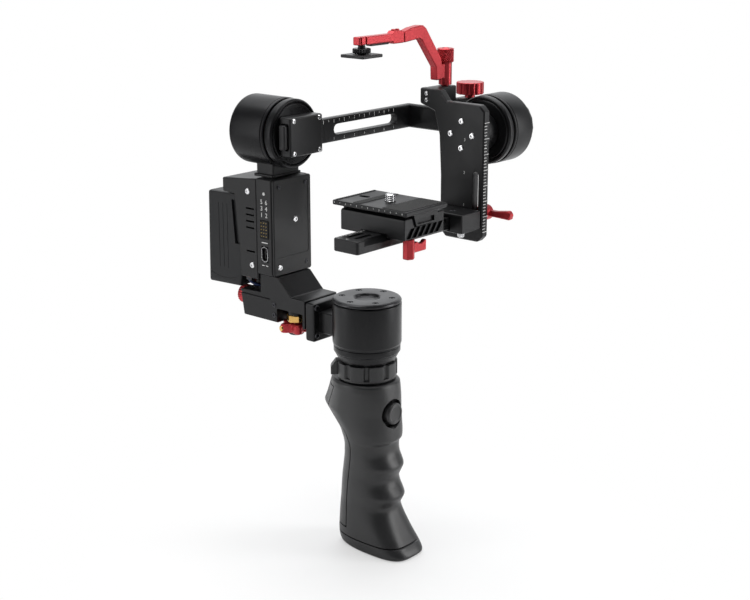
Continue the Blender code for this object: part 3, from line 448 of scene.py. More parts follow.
def numeral(name, body, text, size, at, right, up):
    """A printed number lying in the plane of right and up."""
    curve = bpy.data.curves.new(name, "FONT")
    curve.body = text
    curve.size = size * MM
    curve.align_x = "CENTER"
    curve.align_y = "CENTER"
    curve.extrude = 0.02 * MM
    guide = put(name + "_curve", curve)
    mesh = evaluated_mesh(guide)
    bpy.data.objects.remove(guide)
    right, up = Vector(right), Vector(up)
    turn = Matrix((right, up, right.cross(up))).transposed().to_4x4()
    mesh.transform(Matrix.Translation(Vector(at) * MM) @ turn)
    return piece(put(name, mesh), body, "ink")


def cable(name, body, look, route, radius):
    """A round cable through points."""
    curve = bpy.data.curves.new(name, "CURVE")
    curve.dimensions = "3D"
    curve.bevel_depth = radius * MM
    curve.bevel_resolution = 5
    curve.use_fill_caps = True
    curve.resolution_u = 16
    spline = curve.splines.new("BEZIER")
    spline.bezier_points.add(len(route) - 1)
    for point, place in zip(spline.bezier_points, route):
        point.co = Vector(place) * MM
        point.handle_left_type = "AUTO"
        point.handle_right_type = "AUTO"
    guide = put(name, curve)
    mesh = evaluated_mesh(guide)
    bpy.data.objects.remove(guide)
    return piece(crisp(put(name, mesh), 50.0), body, look)


# --- grip ---
# height, front Y, back Y, half width, how much the back narrows
GRIP_SECTIONS = [
    (0.0, -38.6, 15.6, 15.8, 0.22),
    (1.2, -39.6, 16.6, 16.8, 0.22),
    (4.0, -38.4, 17.6, 17.2, 0.20),
    (8.0, -35.2, 18.0, 17.2, 0.18),
    (13.0, -31.4, 18.0, 17.0, 0.16),
    (20.0, -26.8, 17.8, 16.7, 0.14),
    (26.5, -23.4, 17.6, 16.5, 0.12),
    (30.5, -22.7, 17.6, 16.4, 0.12),
    (34.0, -24.6, 17.5, 16.5, 0.12),
    (37.7, -26.3, 17.3, 16.6, 0.12),
    (41.4, -24.6, 16.9, 16.5, 0.12),
    (45.0, -22.3, 16.4, 16.4, 0.12),
    (49.0, -21.3, 15.9, 16.3, 0.12),
    (53.5, -23.2, 15.3, 16.4, 0.12),
    (57.8, -25.1, 14.8, 16.5, 0.12),
    (61.5, -23.6, 14.2, 16.4, 0.12),
    (65.5, -21.4, 13.8, 16.4, 0.12),
    (70.0, -20.6, 13.6, 16.6, 0.12),
    (74.0, -21.2, 14.2, 17.2, 0.12),
    (75.6, -22.9, 14.8, 17.6, 0.12),
    (82.0, -23.0, 18.5, 18.6, 0.20),
    (88.0, -22.8, 27.5, 19.3, 0.42),
    (92.5, -22.6, 33.5, 19.7, 0.535),
    (93.5, -22.5, 34.8, 19.8, 0.56),
    (95.0, -22.4, 34.0, 19.9, 0.55),
    (99.0, -22.2, 32.0, 20.0, 0.52),
    (104.0, -21.8, 29.6, 20.0, 0.46),
    (109.5, -21.0, 26.8, 20.0, 0.34),
    (112.8, -20.4, 24.6, 19.6, 0.20),
    (114.0, -19.2, 22.0, 18.4, 0.10),
]
GRIP_SQUARENESS = 2.45
BASE_SQUARENESS = 3.6         # the grip's foot has tighter corners
SQUARENESS_BLEND = 24.0       # the height over which the foot's corners round off
STRAP_DEPTH = 13.5
SEAM_GAP = 0.8                # from the shell to its back strap and bottom cap
STRAP_SPAN = (13.0, 109.0)
CAP_SEAM = 8.0
GRIP_TOP = 114.0
BEAK_FROM = 82.0              # above this height the sides run straight between sections
FRONT_COLUMNS = 84
BACK_COLUMNS = 36


def grip_size_at(height):
    """Front, back, half width and narrowing, smooth below the beak and straight in it."""
    last = len(GRIP_SECTIONS) - 1
    i = max(k for k in range(last) if GRIP_SECTIONS[k][0] <= height)
    below, low, high, above = [GRIP_SECTIONS[min(max(k, 0), last)]
                               for k in (i - 1, i, i + 1, i + 2)]
    span = high[0] - low[0]
    t = (height - low[0]) / span
    if low[0] >= BEAK_FROM:
        return [low[k] + (high[k] - low[k]) * t for k in range(1, 5)]
    sizes = []
    for k in range(1, 5):
        start_slope = (high[k] - below[k]) / (high[0] - below[0]) * span
        end_slope = (above[k] - low[k]) / (above[0] - low[0]) * span
        sizes.append((2 * t ** 3 - 3 * t ** 2 + 1) * low[k]
                     + (t ** 3 - 2 * t ** 2 + t) * start_slope
                     + (3 * t ** 2 - 2 * t ** 3) * high[k]
                     + (t ** 3 - t ** 2) * end_slope)
    return sizes


def squareness_at(height):
    """How square the grip's outline is: tightest in its foot, rounder by the grooves."""
    share = min(1.0, max(0.0, (height - CAP_SEAM) / SQUARENESS_BLEND))
    return BASE_SQUARENESS + (GRIP_SQUARENESS - BASE_SQUARENESS) * share


def grip_ring(height, behind=0.0):
    """One cross-section; its first column and column FRONT_COLUMNS lie on the strap seam.

    behind moves those two columns back from the seam.
    """
    front, back, half_width, narrowing = grip_size_at(height)
    middle = (front + back) / 2
    reach = (back - front) / 2
    square = squareness_at(height)
    seam_share = max(0.05, (back - STRAP_DEPTH + behind - middle) / reach)
    seam = math.asin(seam_share ** (square / 2))
    angles = [seam - (math.pi + 2 * seam) * i / FRONT_COLUMNS for i in range(FRONT_COLUMNS)]
    angles += [math.pi - seam - (math.pi - 2 * seam) * i / BACK_COLUMNS
               for i in range(BACK_COLUMNS)]
    ring = []
    for angle in angles:
        c, s = math.cos(angle), math.sin(angle)
        along_x = math.copysign(abs(c) ** (2 / square), c)
        along_y = math.copysign(abs(s) ** (2 / square), s)
        taper = 1 - narrowing * max(0.0, along_y) ** 1.4
        ring.append(Vector((half_width * along_x * taper, middle + reach * along_y, height)))
    return ring


def levels(low, high, step):
    count = max(1, round((high - low) / step))
    return [low + (high - low) * i / count for i in range(count + 1)]


def grip_sheet(name, rings, wanted, capped=False):
    """An outward-facing sheet through rings, of the faces wanted(level, column) picks."""
    bm = bmesh.new()
    rows = [[bm.verts.new(p * MM) for p in ring] for ring in rings]
    for level, (lower, upper) in enumerate(zip(rows, rows[1:])):
        for i in range(len(lower)):
            j = (i + 1) % len(lower)
            if wanted(level, i):
                bm.faces.new((lower[i], upper[i], upper[j], lower[j]))
    if capped:
        bm.faces.new(rows[0])
        bm.faces.new(rows[-1])
        bmesh.ops.recalc_face_normals(bm, faces=bm.faces)
    loose = [v for v in bm.verts if not v.link_faces]
    bmesh.ops.delete(bm, geom=loose, context="VERTS")
    mesh = bpy.data.meshes.new(name)
    bm.to_mesh(mesh)
    bm.free()
    obj = put(name, mesh)
    obj.data.shade_smooth()
    return obj


def thicken(obj, wall, edge):
    solid = obj.modifiers.new("wall", "SOLIDIFY")
    solid.thickness = wall * MM
    solid.offset = -1.0
    baked(obj)
    soften(obj, edge, 3, 60.0)
    return baked(obj)


def build_grip():
    heights = (levels(CAP_SEAM, STRAP_SPAN[0], 1.0)[:-1] + levels(*STRAP_SPAN, 1.0)[:-1]
               + levels(STRAP_SPAN[1], GRIP_TOP, 0.5))
    rings = [grip_ring(h) for h in heights]
    bore = 9.6
    top = rings[-1]
    for share in (0.04, 0.15, 0.5, 1.0):
        drop = 0.25 * (1 - (1 - min(1.0, share * 6)) ** 2)
        ring = []
        for p in top:
            inward = Vector((p.x, p.y, 0)).normalized() * bore
            ring.append(Vector((p.x + (inward.x - p.x) * share,
                                p.y + (inward.y - p.y) * share, GRIP_TOP + drop * 0.2)))
        rings.append(ring)

    def in_strap(level, column):
        if level >= len(heights) - 1 or column < FRONT_COLUMNS:
            return False
        return STRAP_SPAN[0] - 0.01 < heights[level] < STRAP_SPAN[1] - 0.01

    shell = grip_sheet("grip_shell_skin", rings, lambda l, c: not in_strap(l, c))
    thicken(shell, 3.0, 0.30)
    button_z = 94.4
    recess = slab("recess", "Y", ring_points((0.0, button_z), 10.8, 8), (-30.0, -21.2))
    soften(recess, 2.4, 5)
    hole = rod("hole", "Y", (0.0, button_z), (-30.0, -10.0), 9.4, 64)
    cut(shell, baked(recess), hole)
    crisp(shell, 40.0)
    piece(shell, "grip", "grip", "grip_shell")

    strap_heights = levels(STRAP_SPAN[0] + SEAM_GAP, STRAP_SPAN[1] - SEAM_GAP, 1.0)
    strap_rings = [grip_ring(h, SEAM_GAP) for h in strap_heights]
    strap = grip_sheet("grip_backstrap_skin", strap_rings, lambda l, c: c >= FRONT_COLUMNS)
    piece(thicken(strap, 2.4, 0.35), "grip", "grip", "grip_backstrap")

    cap_rings = [grip_ring(h) for h in levels(0.0, CAP_SEAM - SEAM_GAP, 0.5)]
    cap = grip_sheet("grip_cap_skin", cap_rings, lambda l, c: True, capped=True)
    baked(soften(cap, 0.35, 3, 60.0))
    insert_at = (0.0, -8.0)
    wells = [rod("well", "Z", insert_at, (-5.0, 6.0), 5.2, 48)]
    screw_spots = [(-10.0, -26.0), (10.0, -26.0), (0.0, 10.0)]
    wells += [rod("well", "Z", spot, (-5.0, 2.2), 2.9, 32) for spot in screw_spots]
    crisp(cut(cap, *wells), 40.0)
    piece(cap, "grip", "grip", "grip_bottom_cap")
    thread = [(5.1, 0.25), (5.1, 5.9), (3.3, 5.9)]
    for i in range(8):
        thread += [(3.0, 5.5 - i * 0.64), (3.4, 5.2 - i * 0.64)]
    thread += [(3.4, 0.25)]
    insert = turned("grip_base_insert", "Z", insert_at, thread, closed=True, steps=64, ease=0)
    piece(insert, "grip", "steel")
    screws("grip_base_screw", "grip", [(*spot, 1.6) for spot in screw_spots], (0, 0, -1), 2.4,
           0.9, "dark_steel")

    button = turned("grip_button_cap", "Y", (0.0, button_z),
                    [(0, -16.6), (9.9, -16.6), (9.9, -17.3), (7.1, -17.5), (7.1, -22.9),
                     (6.5, -23.9), (5.3, -24.1), (4.7, -23.7), (0, -23.5)], steps=72, ease=0.4)
    piece(button, "button", "grip", "grip_button")


def build_collar():
    """The lock collar: a smooth lower rim and a ring of grip pads above it."""
    bore = 9.5
    rim = turned("collar_rim", "Z", (0, 0),
                 [(17.4, 117.4), (18.9, 117.2), (19.0, 116.2), (18.4, 115.1), (bore, 115.1),
                  (bore, 117.4)], closed=True, steps=128, ease=0.4)
    piece(rim, "collar", "grip", "lock_collar")
    pads = 9
    lug = math.radians(131)

    def wave(angle):
        off_lug = abs((angle - lug + math.pi) % (2 * math.pi) - math.pi)
        if off_lug < math.radians(10):
            return 4.9
        return 0.9 * math.tanh(7 * (math.cos(pads * angle) + 0.72))

    crown = slab("collar_pads", "Z", ring_points((0, 0), 18.4, 360, wave), (116.9, 126.1))
    slope = slab("slope", "Y", [(19.4, 127.0), (26.0, 127.0), (26.0, 118.0)], (-9.0, 9.0))
    slope.data.transform(Matrix.Rotation(lug, 4, "Z"))
    cut(crown, rod("bore", "Z", (0, 0), (110, 130), bore, 64), slope)
    piece(soften(crown, 0.45, 3, 40.0), "collar", "grip")


# --- pan motor and rail ---
MOTOR_SCREWS = 6              # on the end faces of the pan and roll motors


def build_pan_motor():
    base = turned("pan_base_skirt", "Z", (0, 0),
                  [(21.3, 136.4), (21.3, 132.9), (20.4, 132.2), (20.4, 131.6), (18.9, 128.7),
                   (18.1, 127.0), (4.3, 127.0), (4.3, 136.4)], closed=True, steps=128)
    piece(base, "grip", "black_z", "pan_motor_base")
    hub = turned("pan_stator_hub", "Z", (0, 0), [(6.0, 157.0), (6.0, 136.6), (4.3, 136.6),
                                                 (4.3, 157.0)], closed=True, steps=64)
    piece(hub, "grip", "black_z")
    housing = turned("pan_housing_shell", "Z", (0, 0),
                     [(21.3, 164.7), (22.0, 164.1), (22.0, 138.6), (21.5, 137.8),
                      (21.5, 136.7), (20.2, 136.7), (20.2, 164.7)], closed=True, steps=144)
    piece(housing, "pan_head", "black_z", "pan_motor_housing")
    cap = turned("pan_cap_disc", "Z", (0, 0),
                 [(0, 165.5), (7.4, 165.5), (8.5, 167.0), (9.1, 167.3), (19.8, 167.4),
                  (21.3, 166.9), (21.9, 165.9), (21.9, 165.2), (20.4, 165.1), (20.4, 163.0),
                  (0, 163.0)], steps=144, ease=0.45)
    spots = ring_points((0, 0), 16.0, MOTOR_SCREWS)
    crisp(cut(cap, *[rod("well", "Z", spot, (166.6, 170.0), 2.05, 40) for spot in spots]))
    piece(cap, "pan_head", "black_cap", "pan_motor_cap")
    screws("pan_cap_screw", "pan_head", [(*spot, 166.4) for spot in spots], (0, 0, 1), 1.85,
           0.8, "dark_steel")

    refinished("pan_bracket", "pan_head", "black")
    bolts = [(x, 31.1, z) for z in (138.2, 156.6) for x in (-13.2, 13.2)]
    screws("bracket_bolt", "pan_head", bolts, (0, -1, 0), 1.9, 0.9, "dark_steel")
    refinished("arm_rail", "pan_head", "black", 0.3)
    scale("rail_scale", "pan_head", (9, 44.0, 5.0), 2, (2.2, 1.3), 0.15,
          lambda along, length: ((5.0 - length, 5.0 + length), along, (154.48, 154.56)))


# --- sliding arm ---
WING_AT = (-9.5, 53.0)
WHEEL_AT = (-6.0, 152.0)
ARM_BOTTOM = 140.8


def build_arm():
    refinished("arm_foot", "arm", "black", 0.3)
    screws("arm_foot_bolt", "arm", [(x, 87.2, ARM_BOTTOM + 0.1) for x in (-10.5, 10.5)],
           (0, 0, -1), 2.0, 0.8, "dark_steel")
    screws("arm_side_bolt", "arm", [(-15.4, 67.0, z) for z in (145.6, 152.6)], (-1, 0, 0), 1.7,
           0.6, "dark_steel")
    nut = rod("wing_nut_hexagon", "Z", WING_AT, (143.1, 147.7), 6.4, 6)
    cut(nut, rod("bore", "Z", WING_AT, (140.0, 150.0), 1.8, 32))
    piece(soften(nut, 0.35), "arm", "brass", "wing_nut")
    # A black spacer fills the gap between the nut and the arm foot: painted shade that stands
    # for the shadow there.
    shade_spacer = turned("wing_nut_painted_shade_spacer", "Z", WING_AT,
                    [(5.2, 150.6), (5.2, 147.8), (1.8, 147.8), (1.8, 150.6)], closed=True,
                    steps=64)
    piece(shade_spacer, "arm", "black_z")

    lobes = 5
    facing = math.radians(160)
    knob = slab("wing_knob_star", "Z",
                ring_points(WING_AT, 9.2, 200, lambda a: 1.9 * math.cos(lobes * (a - facing))),
                (136.6, 142.4))
    soften(knob, 1.0, 4, 40.0)
    baked(knob)
    foot = turned("wing_knob_foot", "Z", WING_AT, [(0, 134.6), (4.6, 134.6), (5.2, 135.2),
                                                   (5.2, 136.5), (0, 136.5)], steps=64)
    neck = turned("neck", "Z", WING_AT, [(0, 141.4), (3.9, 141.4), (3.5, 142.9),
                                         (0, 142.9)], steps=64)
    stud = rod("stud", "Z", WING_AT, (142.0, 155.4), 1.4, 32)
    piece(foot, "wing", "black_z")
    crisp(join(knob, neck, stud), 40.0)
    piece(knob, "wing", "red", "wing_knob")
    screw("wing_knob_screw", "wing", (*WING_AT, 134.7), (0, 0, -1), 2.6, 0.5)
    outward = (math.cos(facing), math.sin(facing), 0)
    pin = turned("wing_pin", "Z", (0, 0), [(0, -2.0), (1.9, -2.0), (1.9, 0.5), (1.5, 0.9),
                                           (0, 0.9)], steps=40, ease=0.2)
    reach = 10.7
    pin_at = (WING_AT[0] + outward[0] * reach, WING_AT[1] + outward[1] * reach, 139.5)
    piece(aim(pin, pin_at, outward), "wing", "brass")

    wheel = turned("arm_wheel_disc", "Y", WHEEL_AT,
                   [(0, 99.2), (5.5, 99.2), (6.2, 99.9), (6.2, 104.4), (5.5, 105.2),
                    (3.8, 105.2), (3.4, 104.6), (0, 104.6)], steps=240,
                   ripple=knurled(24, 0.22, 5.9))
    piece(wheel, "arm_lock", "red", "arm_wheel")
    screw("arm_wheel_screw", "arm_lock", (WHEEL_AT[0], 104.6, WHEEL_AT[1]), (0, 1, 0), 2.4,
          0.5)

    looks = ("cable_blue", "cable", "cable_red")
    for i, look in enumerate(looks):
        shift = 1.9 * (i - 1)
        cable("arm_lead_%d" % i, "arm", look,
              [(-11.5 + shift, 92.5 - i * 0.8, 166.2), (-10.2 + shift, 91.4, 163.4),
               (-9.0, 88.6 + shift, 161.2 + i * 0.4), (-4.0, 86.6 + shift, 160.6 + i * 0.4)],
              0.85)
    tray = box("arm_lead_tray", (-6.0, 13.0), (80.2, 96.4), (159.3, 167.4))
    piece(soften(tray, 0.5), "arm", "control")
    plug = box("arm_lead_plug", (-14.0, -7.6), (89.0, 94.0), (164.8, 167.5))
    piece(soften(plug, 0.3), "arm", "cable", "arm_cable")


# --- controller and battery ---
BOX_SIDE = -17.4
BOX_FRONT = 63.8


def build_controller():
    refinished("controller_housing", "arm", "control", 0.25)
    cover = refined("controller_cover", 0)
    panel = slab("panel", "Y", rounded((-14.6, 184.0), (14.6, 232.6), 1.5),
                 (BOX_FRONT - 5.0, BOX_FRONT + 0.25))
    cut(cover, panel)
    piece(soften(cover, 0.28), "arm", "control", "controller_cover")
    for node, x, z in (("cover_screw_lower", -12.4, 177.4),
                       ("cover_screw_middle", 2.4, 207.6)):
        head = screw(node + "_head", "arm", (x, BOX_FRONT + 0.1, z), (0, -1, 0), 2.0, 0.6)
        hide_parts(node)
    screws("cover_screw", "arm", [(x, BOX_FRONT + 0.1, z) for x, z in (
        (12.4, 177.4), (-12.4, 230.6), (12.4, 230.6))], (0, -1, 0), 1.5, 0.5, "dark_steel")

    refinished("pin_header", "arm", "rubber", 0.15)
    columns, rows, pitch = 3, 5, 2.2
    pins = []
    for column in range(columns):
        for row in range(rows):
            y = 72.5 + (column - 1) * pitch
            z = 202.5 + (row - 2) * pitch
            pins.append(((BOX_SIDE - 0.9, BOX_SIDE), (y - 0.24, y + 0.24),
                         (z - 0.24, z + 0.24)))
    bars("header_pins", "arm", "gold", pins)
    walls = [((BOX_SIDE - 0.7, BOX_SIDE), (69.0, 69.4), (196.8, 208.2)),
             ((BOX_SIDE - 0.7, BOX_SIDE), (75.6, 76.0), (196.8, 208.2))]
    for row in range(rows + 1):
        z = 202.5 + (row - 2.5) * pitch
        walls.append(((BOX_SIDE - 0.5, BOX_SIDE), (69.0, 76.0), (z - 0.15, z + 0.15)))
    bars("header_walls", "arm", "rubber", walls)
    refinished("data_socket", "arm", "dark_steel", 0.18)
    low, high, rim = (69.8, 181.0), (75.2, 191.0), 0.22
    ring = slab("socket_rim", "X", rounded(low, high, 2.6), (BOX_SIDE - 0.4, BOX_SIDE - 0.15))
    cut(ring, slab("mouth", "X", rounded((low[0] + rim, low[1] + rim),
                                         (high[0] - rim, high[1] - rim), 2.3),
                   (BOX_SIDE - 2.0, BOX_SIDE + 2.0)))
    piece(ring, "arm", "steel")
    bars("socket_tongue", "arm", "rubber",
         [((BOX_SIDE + 0.4, BOX_SIDE + 4.0), (72.1, 72.9), (182.8, 189.2))])

    for row in range(3):
        for column in range(2):
            number = 1 + row * 2 + column
            numeral("port_number_%d" % number, "arm", str(number), 4.2,
                    (BOX_SIDE - 0.03, 74.8 - column * 4.2, 211.8 + row * 4.3),
                    (0, -1, 0), (0, 0, 1))
    bars("port_mark_4", "arm", "ink",
         [((BOX_SIDE - 0.05, BOX_SIDE), (69.8, 75.2), (193.4, 194.0))])
    bars("port_mark_5", "arm", "ink",
         [((BOX_SIDE - 0.05, BOX_SIDE), (69.8, 71.8), (178.2, 178.7)),
          ((BOX_SIDE - 0.05, BOX_SIDE), (73.0, 75.2), (178.2, 178.7))])
    lamp = turned("status_lamp", "X", (72.6, 226.0),
                  [(0, BOX_SIDE - 0.35), (1.0, BOX_SIDE - 0.2), (1.3, BOX_SIDE + 1.0),
                   (0, BOX_SIDE + 1.0)], steps=32, ease=0.2)
    piece(lamp, "arm", "ink")

    refinished("battery_holder", "arm", "control", 0.25)
    holder_screws = (("holder_screw_top", 88.1, 225.6), ("holder_screw_bottom", 85.2, 176.6))
    for node, y, z in holder_screws:
        head = screw(node + "_head", "arm", (-16.7, y, z), (-1, 0, 0), 2.0, 0.5)
        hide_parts(node)
    screws("holder_far_screw", "arm", [(16.7, y, z) for _, y, z in holder_screws], (1, 0, 0),
           2.0, 0.5)

    pack = refined("battery_pack", 0)
    groove_y = (110.0, 114.0, 118.0)
    grooves = []
    for side in (-1, 1):
        low, high = sorted((side * 14.4, side * 20.0))
        for y in groove_y:
            grooves.append(box("groove", (low, high), (y - 0.15, y + 0.15), (170.0, 214.0)))
        band = (arc((114.0, 196.0), 33.0, -58, -122, 14)
                + arc((114.0, 196.0), 33.3, -122, -58, 14))
        grooves.append(slab("groove", "X", band, (low, high)))
    grooves.append(box("groove", (-20.0, 20.0), (127.6, 145.0), (204.0, 204.4)))
    grooves.append(slab("groove", "X", [(98.6, 188.0), (103.0, 188.0), (105.6, 217.5),
                                        (101.8, 217.5)], (-16.0, -13.0)))
    cut(pack, *grooves)
    piece(soften(pack, 0.2, 2), "battery", "battery", "battery_pack")
    latch = slab("battery_latch", "Z", rounded((-5.5, 113.0), (5.5, 122.5), 1.6),
                 (221.2, 222.3))
    cut(latch, *[box("rib", (-4.2, 4.2), (y - 0.35, y + 0.35), (221.9, 225.0))
                 for y in (115.1, 116.7, 118.3, 119.9)])
    piece(soften(latch, 0.25, 2), "battery", "rubber")


# --- roll motor and roll arm ---
AXIS_Z = 264.0


def build_roll():
    at = (0.0, AXIS_Z)
    housing = turned("roll_housing_shell", "Y", at,
                     [(0, 97.8), (9.0, 97.8), (9.6, 98.6), (20.6, 98.6), (22.2, 97.8),
                      (22.5, 96.6), (22.5, 70.4), (22.1, 70.1), (22.1, 69.6), (22.5, 69.3),
                      (22.5, 68.2), (22.0, 67.7), (20.9, 67.7), (20.7, 69.0), (20.7, 92.0),
                      (0, 92.0)], steps=144, ease=0.4)
    piece(housing, "arm", "black_y", "roll_motor_housing")
    neck = box("roll_neck_block", (-12.0, 12.0), (69.0, 84.0), (237.0, 245.0))
    piece(soften(neck, 0.9, 4), "arm", "black")
    lip = box("roll_neck_lip", (-13.2, 13.2), (68.6, 85.2), (235.8, 237.7))
    piece(soften(lip, 0.45, 3), "arm", "black")
    spots = ring_points(at, 16.0, MOTOR_SCREWS)
    screws("roll_back_screw", "arm", [(x, 98.5, z) for x, z in spots], (0, 1, 0), 1.7, 0.5,
           "dark_steel")

    rotor = turned("roll_rotor_ring", "Y", at,
                   [(0, 60.5), (19.0, 60.5), (19.6, 61.2), (20.4, 60.4), (21.2, 60.4),
                    (22.2, 61.4), (22.2, 65.2), (21.7, 65.6), (21.7, 66.2), (21.4, 67.2),
                    (20.0, 67.2), (0, 67.2)], steps=144, ease=0.3)
    piece(rotor, "roll_head", "black_y", "roll_rotor")
    shaft = rod("roll_shaft", "Y", at, (67.0, 90.0), 2.4, 48)
    piece(soften(shaft, 0.4), "roll_head", "steel")
    refinished("roll_clamp", "roll_head", "black", 0.3)
    bolts = [(x, 50.3, z) for z in (253.7, 274.3) for x in (-11.6, 11.6)]
    screws("roll_clamp_bolt", "roll_head", bolts, (0, -1, 0), 1.6, 0.8)
    refinished("roll_arm", "roll_frame", "black", 0.3)
    scale("roll_arm_scale", "roll_frame", (15, 18.0, 5.0), 2, (2.4, 1.4), 0.16,
          lambda along, length: (along, (52.42, 52.52), (271.0 - length, 271.0)))
    for i in range(1, 8):
        numeral("roll_arm_number_%d" % i, "roll_frame", str(i), 2.2,
                (18.0 + 10.0 * i, 52.47, 258.2), (1, 0, 0), (0, 0, 1))

    refinished("tilt_slide_clamp", "roll_frame", "black", 0.3)
    screws("tilt_clamp_bolt", "roll_frame", [(123.9, 12.7, z) for z in (253.4, 276.2)],
           (1, 0, 0), 1.8, 0.8)
    screws("roll_corner_bolt", "roll_frame", [(109.9, 52.6, z) for z in (259.5, 268.5)],
           (1, 0, 0), 1.9, 0.7, "dark_steel")

    knob_at = (117.0, 9.9)
    scallops = 12
    knob = slab("tilt_knob_scallops", "Z",
                ring_points(knob_at, 8.75, 240,
                            lambda a: 0.5 - 0.6 * max(0.0, math.cos(scallops * a)) ** 2),
                (281.9, 289.9))
    baked(soften(knob, 1.3, 5, 50.0))
    neck = turned("neck", "Z", knob_at, [(0, 282.7), (3.9, 282.7), (3.4, 280.7),
                                         (3.7, 279.4), (0, 279.4)], steps=64)
    stud = rod("stud", "Z", knob_at, (273.2, 282.0), 1.4, 32)
    piece(crisp(join(knob, neck, stud), 40.0), "tilt_lock", "red", "tilt_clamp_knob")


# --- tilt motor and height plate ---
TILT_AT = (-22.0, AXIS_Z)


def build_tilt():
    refinished("tilt_arm", "tilt_mount", "black", 0.25)
    scale("tilt_arm_scale", "tilt_mount", (9, 2.0, 5.0), 2, (2.6, 1.5), 0.16,
          lambda along, length: ((119.28, 119.36), along, (271.0 - length, 271.0)))
    screws("tilt_arm_screw", "tilt_mount", [(119.2, *p) for p in ring_points(TILT_AT, 13.5, 4)],
           (1, 0, 0), 2.1, 0.8)
    boss = turned("tilt_arm_boss", "X", TILT_AT,
                  [(0, 119.2), (7.0, 119.2), (7.0, 119.7), (6.2, 120.1), (3.4, 120.1),
                   (3.0, 119.7), (0, 119.6)], steps=72, ease=0.25)
    piece(boss, "tilt_mount", "black_x")
    housing = turned("tilt_housing_shell", "X", TILT_AT,
                     [(0, 114.0), (20.6, 114.0), (22.2, 113.2), (22.5, 112.2), (22.5, 97.0),
                      (22.1, 96.7), (22.1, 96.2), (22.5, 95.9), (22.5, 94.9), (22.0, 94.4),
                      (20.9, 94.4), (20.7, 96.0), (20.7, 110.4), (0, 110.4)], steps=144,
                     ease=0.4)
    piece(housing, "tilt_mount", "black_x", "tilt_motor_housing")
    rotor = turned("tilt_rotor_ring", "X", TILT_AT,
                   [(0, 88.5), (19.0, 88.5), (19.6, 89.1), (20.4, 88.4), (21.2, 88.4),
                    (22.2, 89.4), (22.2, 92.2), (21.7, 92.6), (21.7, 93.1), (21.4, 94.0),
                    (20.0, 94.0), (0, 94.0)], steps=144, ease=0.3)
    piece(rotor, "tilt_head", "black_x", "tilt_rotor")
    shaft = rod("tilt_shaft", "X", TILT_AT, (93.8, 107.0), 2.4, 48)
    piece(soften(shaft, 0.4), "tilt_head", "steel")

    refinished("height_plate", "tilt_head", "black", 0.25)
    scale("height_scale", "tilt_head", (36, 203.0, 2.0), 5, (5.0, 2.6), 0.17,
          lambda along, length: ((66.6, 66.6 + length), (-40.06, -39.96), along))
    for i in range(1, 4):
        numeral("height_number_%d" % i, "tilt_head", str(i), 2.6,
                (65.97, -25.0, 198.0 + i * 21.0), (0, -1, 0), (0, 0, 1))
    screws("hub_screw", "tilt_head", [(66.1, *p) for p in ring_points(TILT_AT, 8.6, 4)],
           (-1, 0, 0), 2.0, 0.9)
    refinished("clamp_post", "tilt_head", "black", 0.3)
    screws("post_screw", "tilt_head", [(66.1, 6.5, z) for z in (283.4, 287.6)], (-1, 0, 0), 1.4,
           0.7)


# --- camera stage ---
BAR_TOP = 214.6
CAMERA_X = 3.5


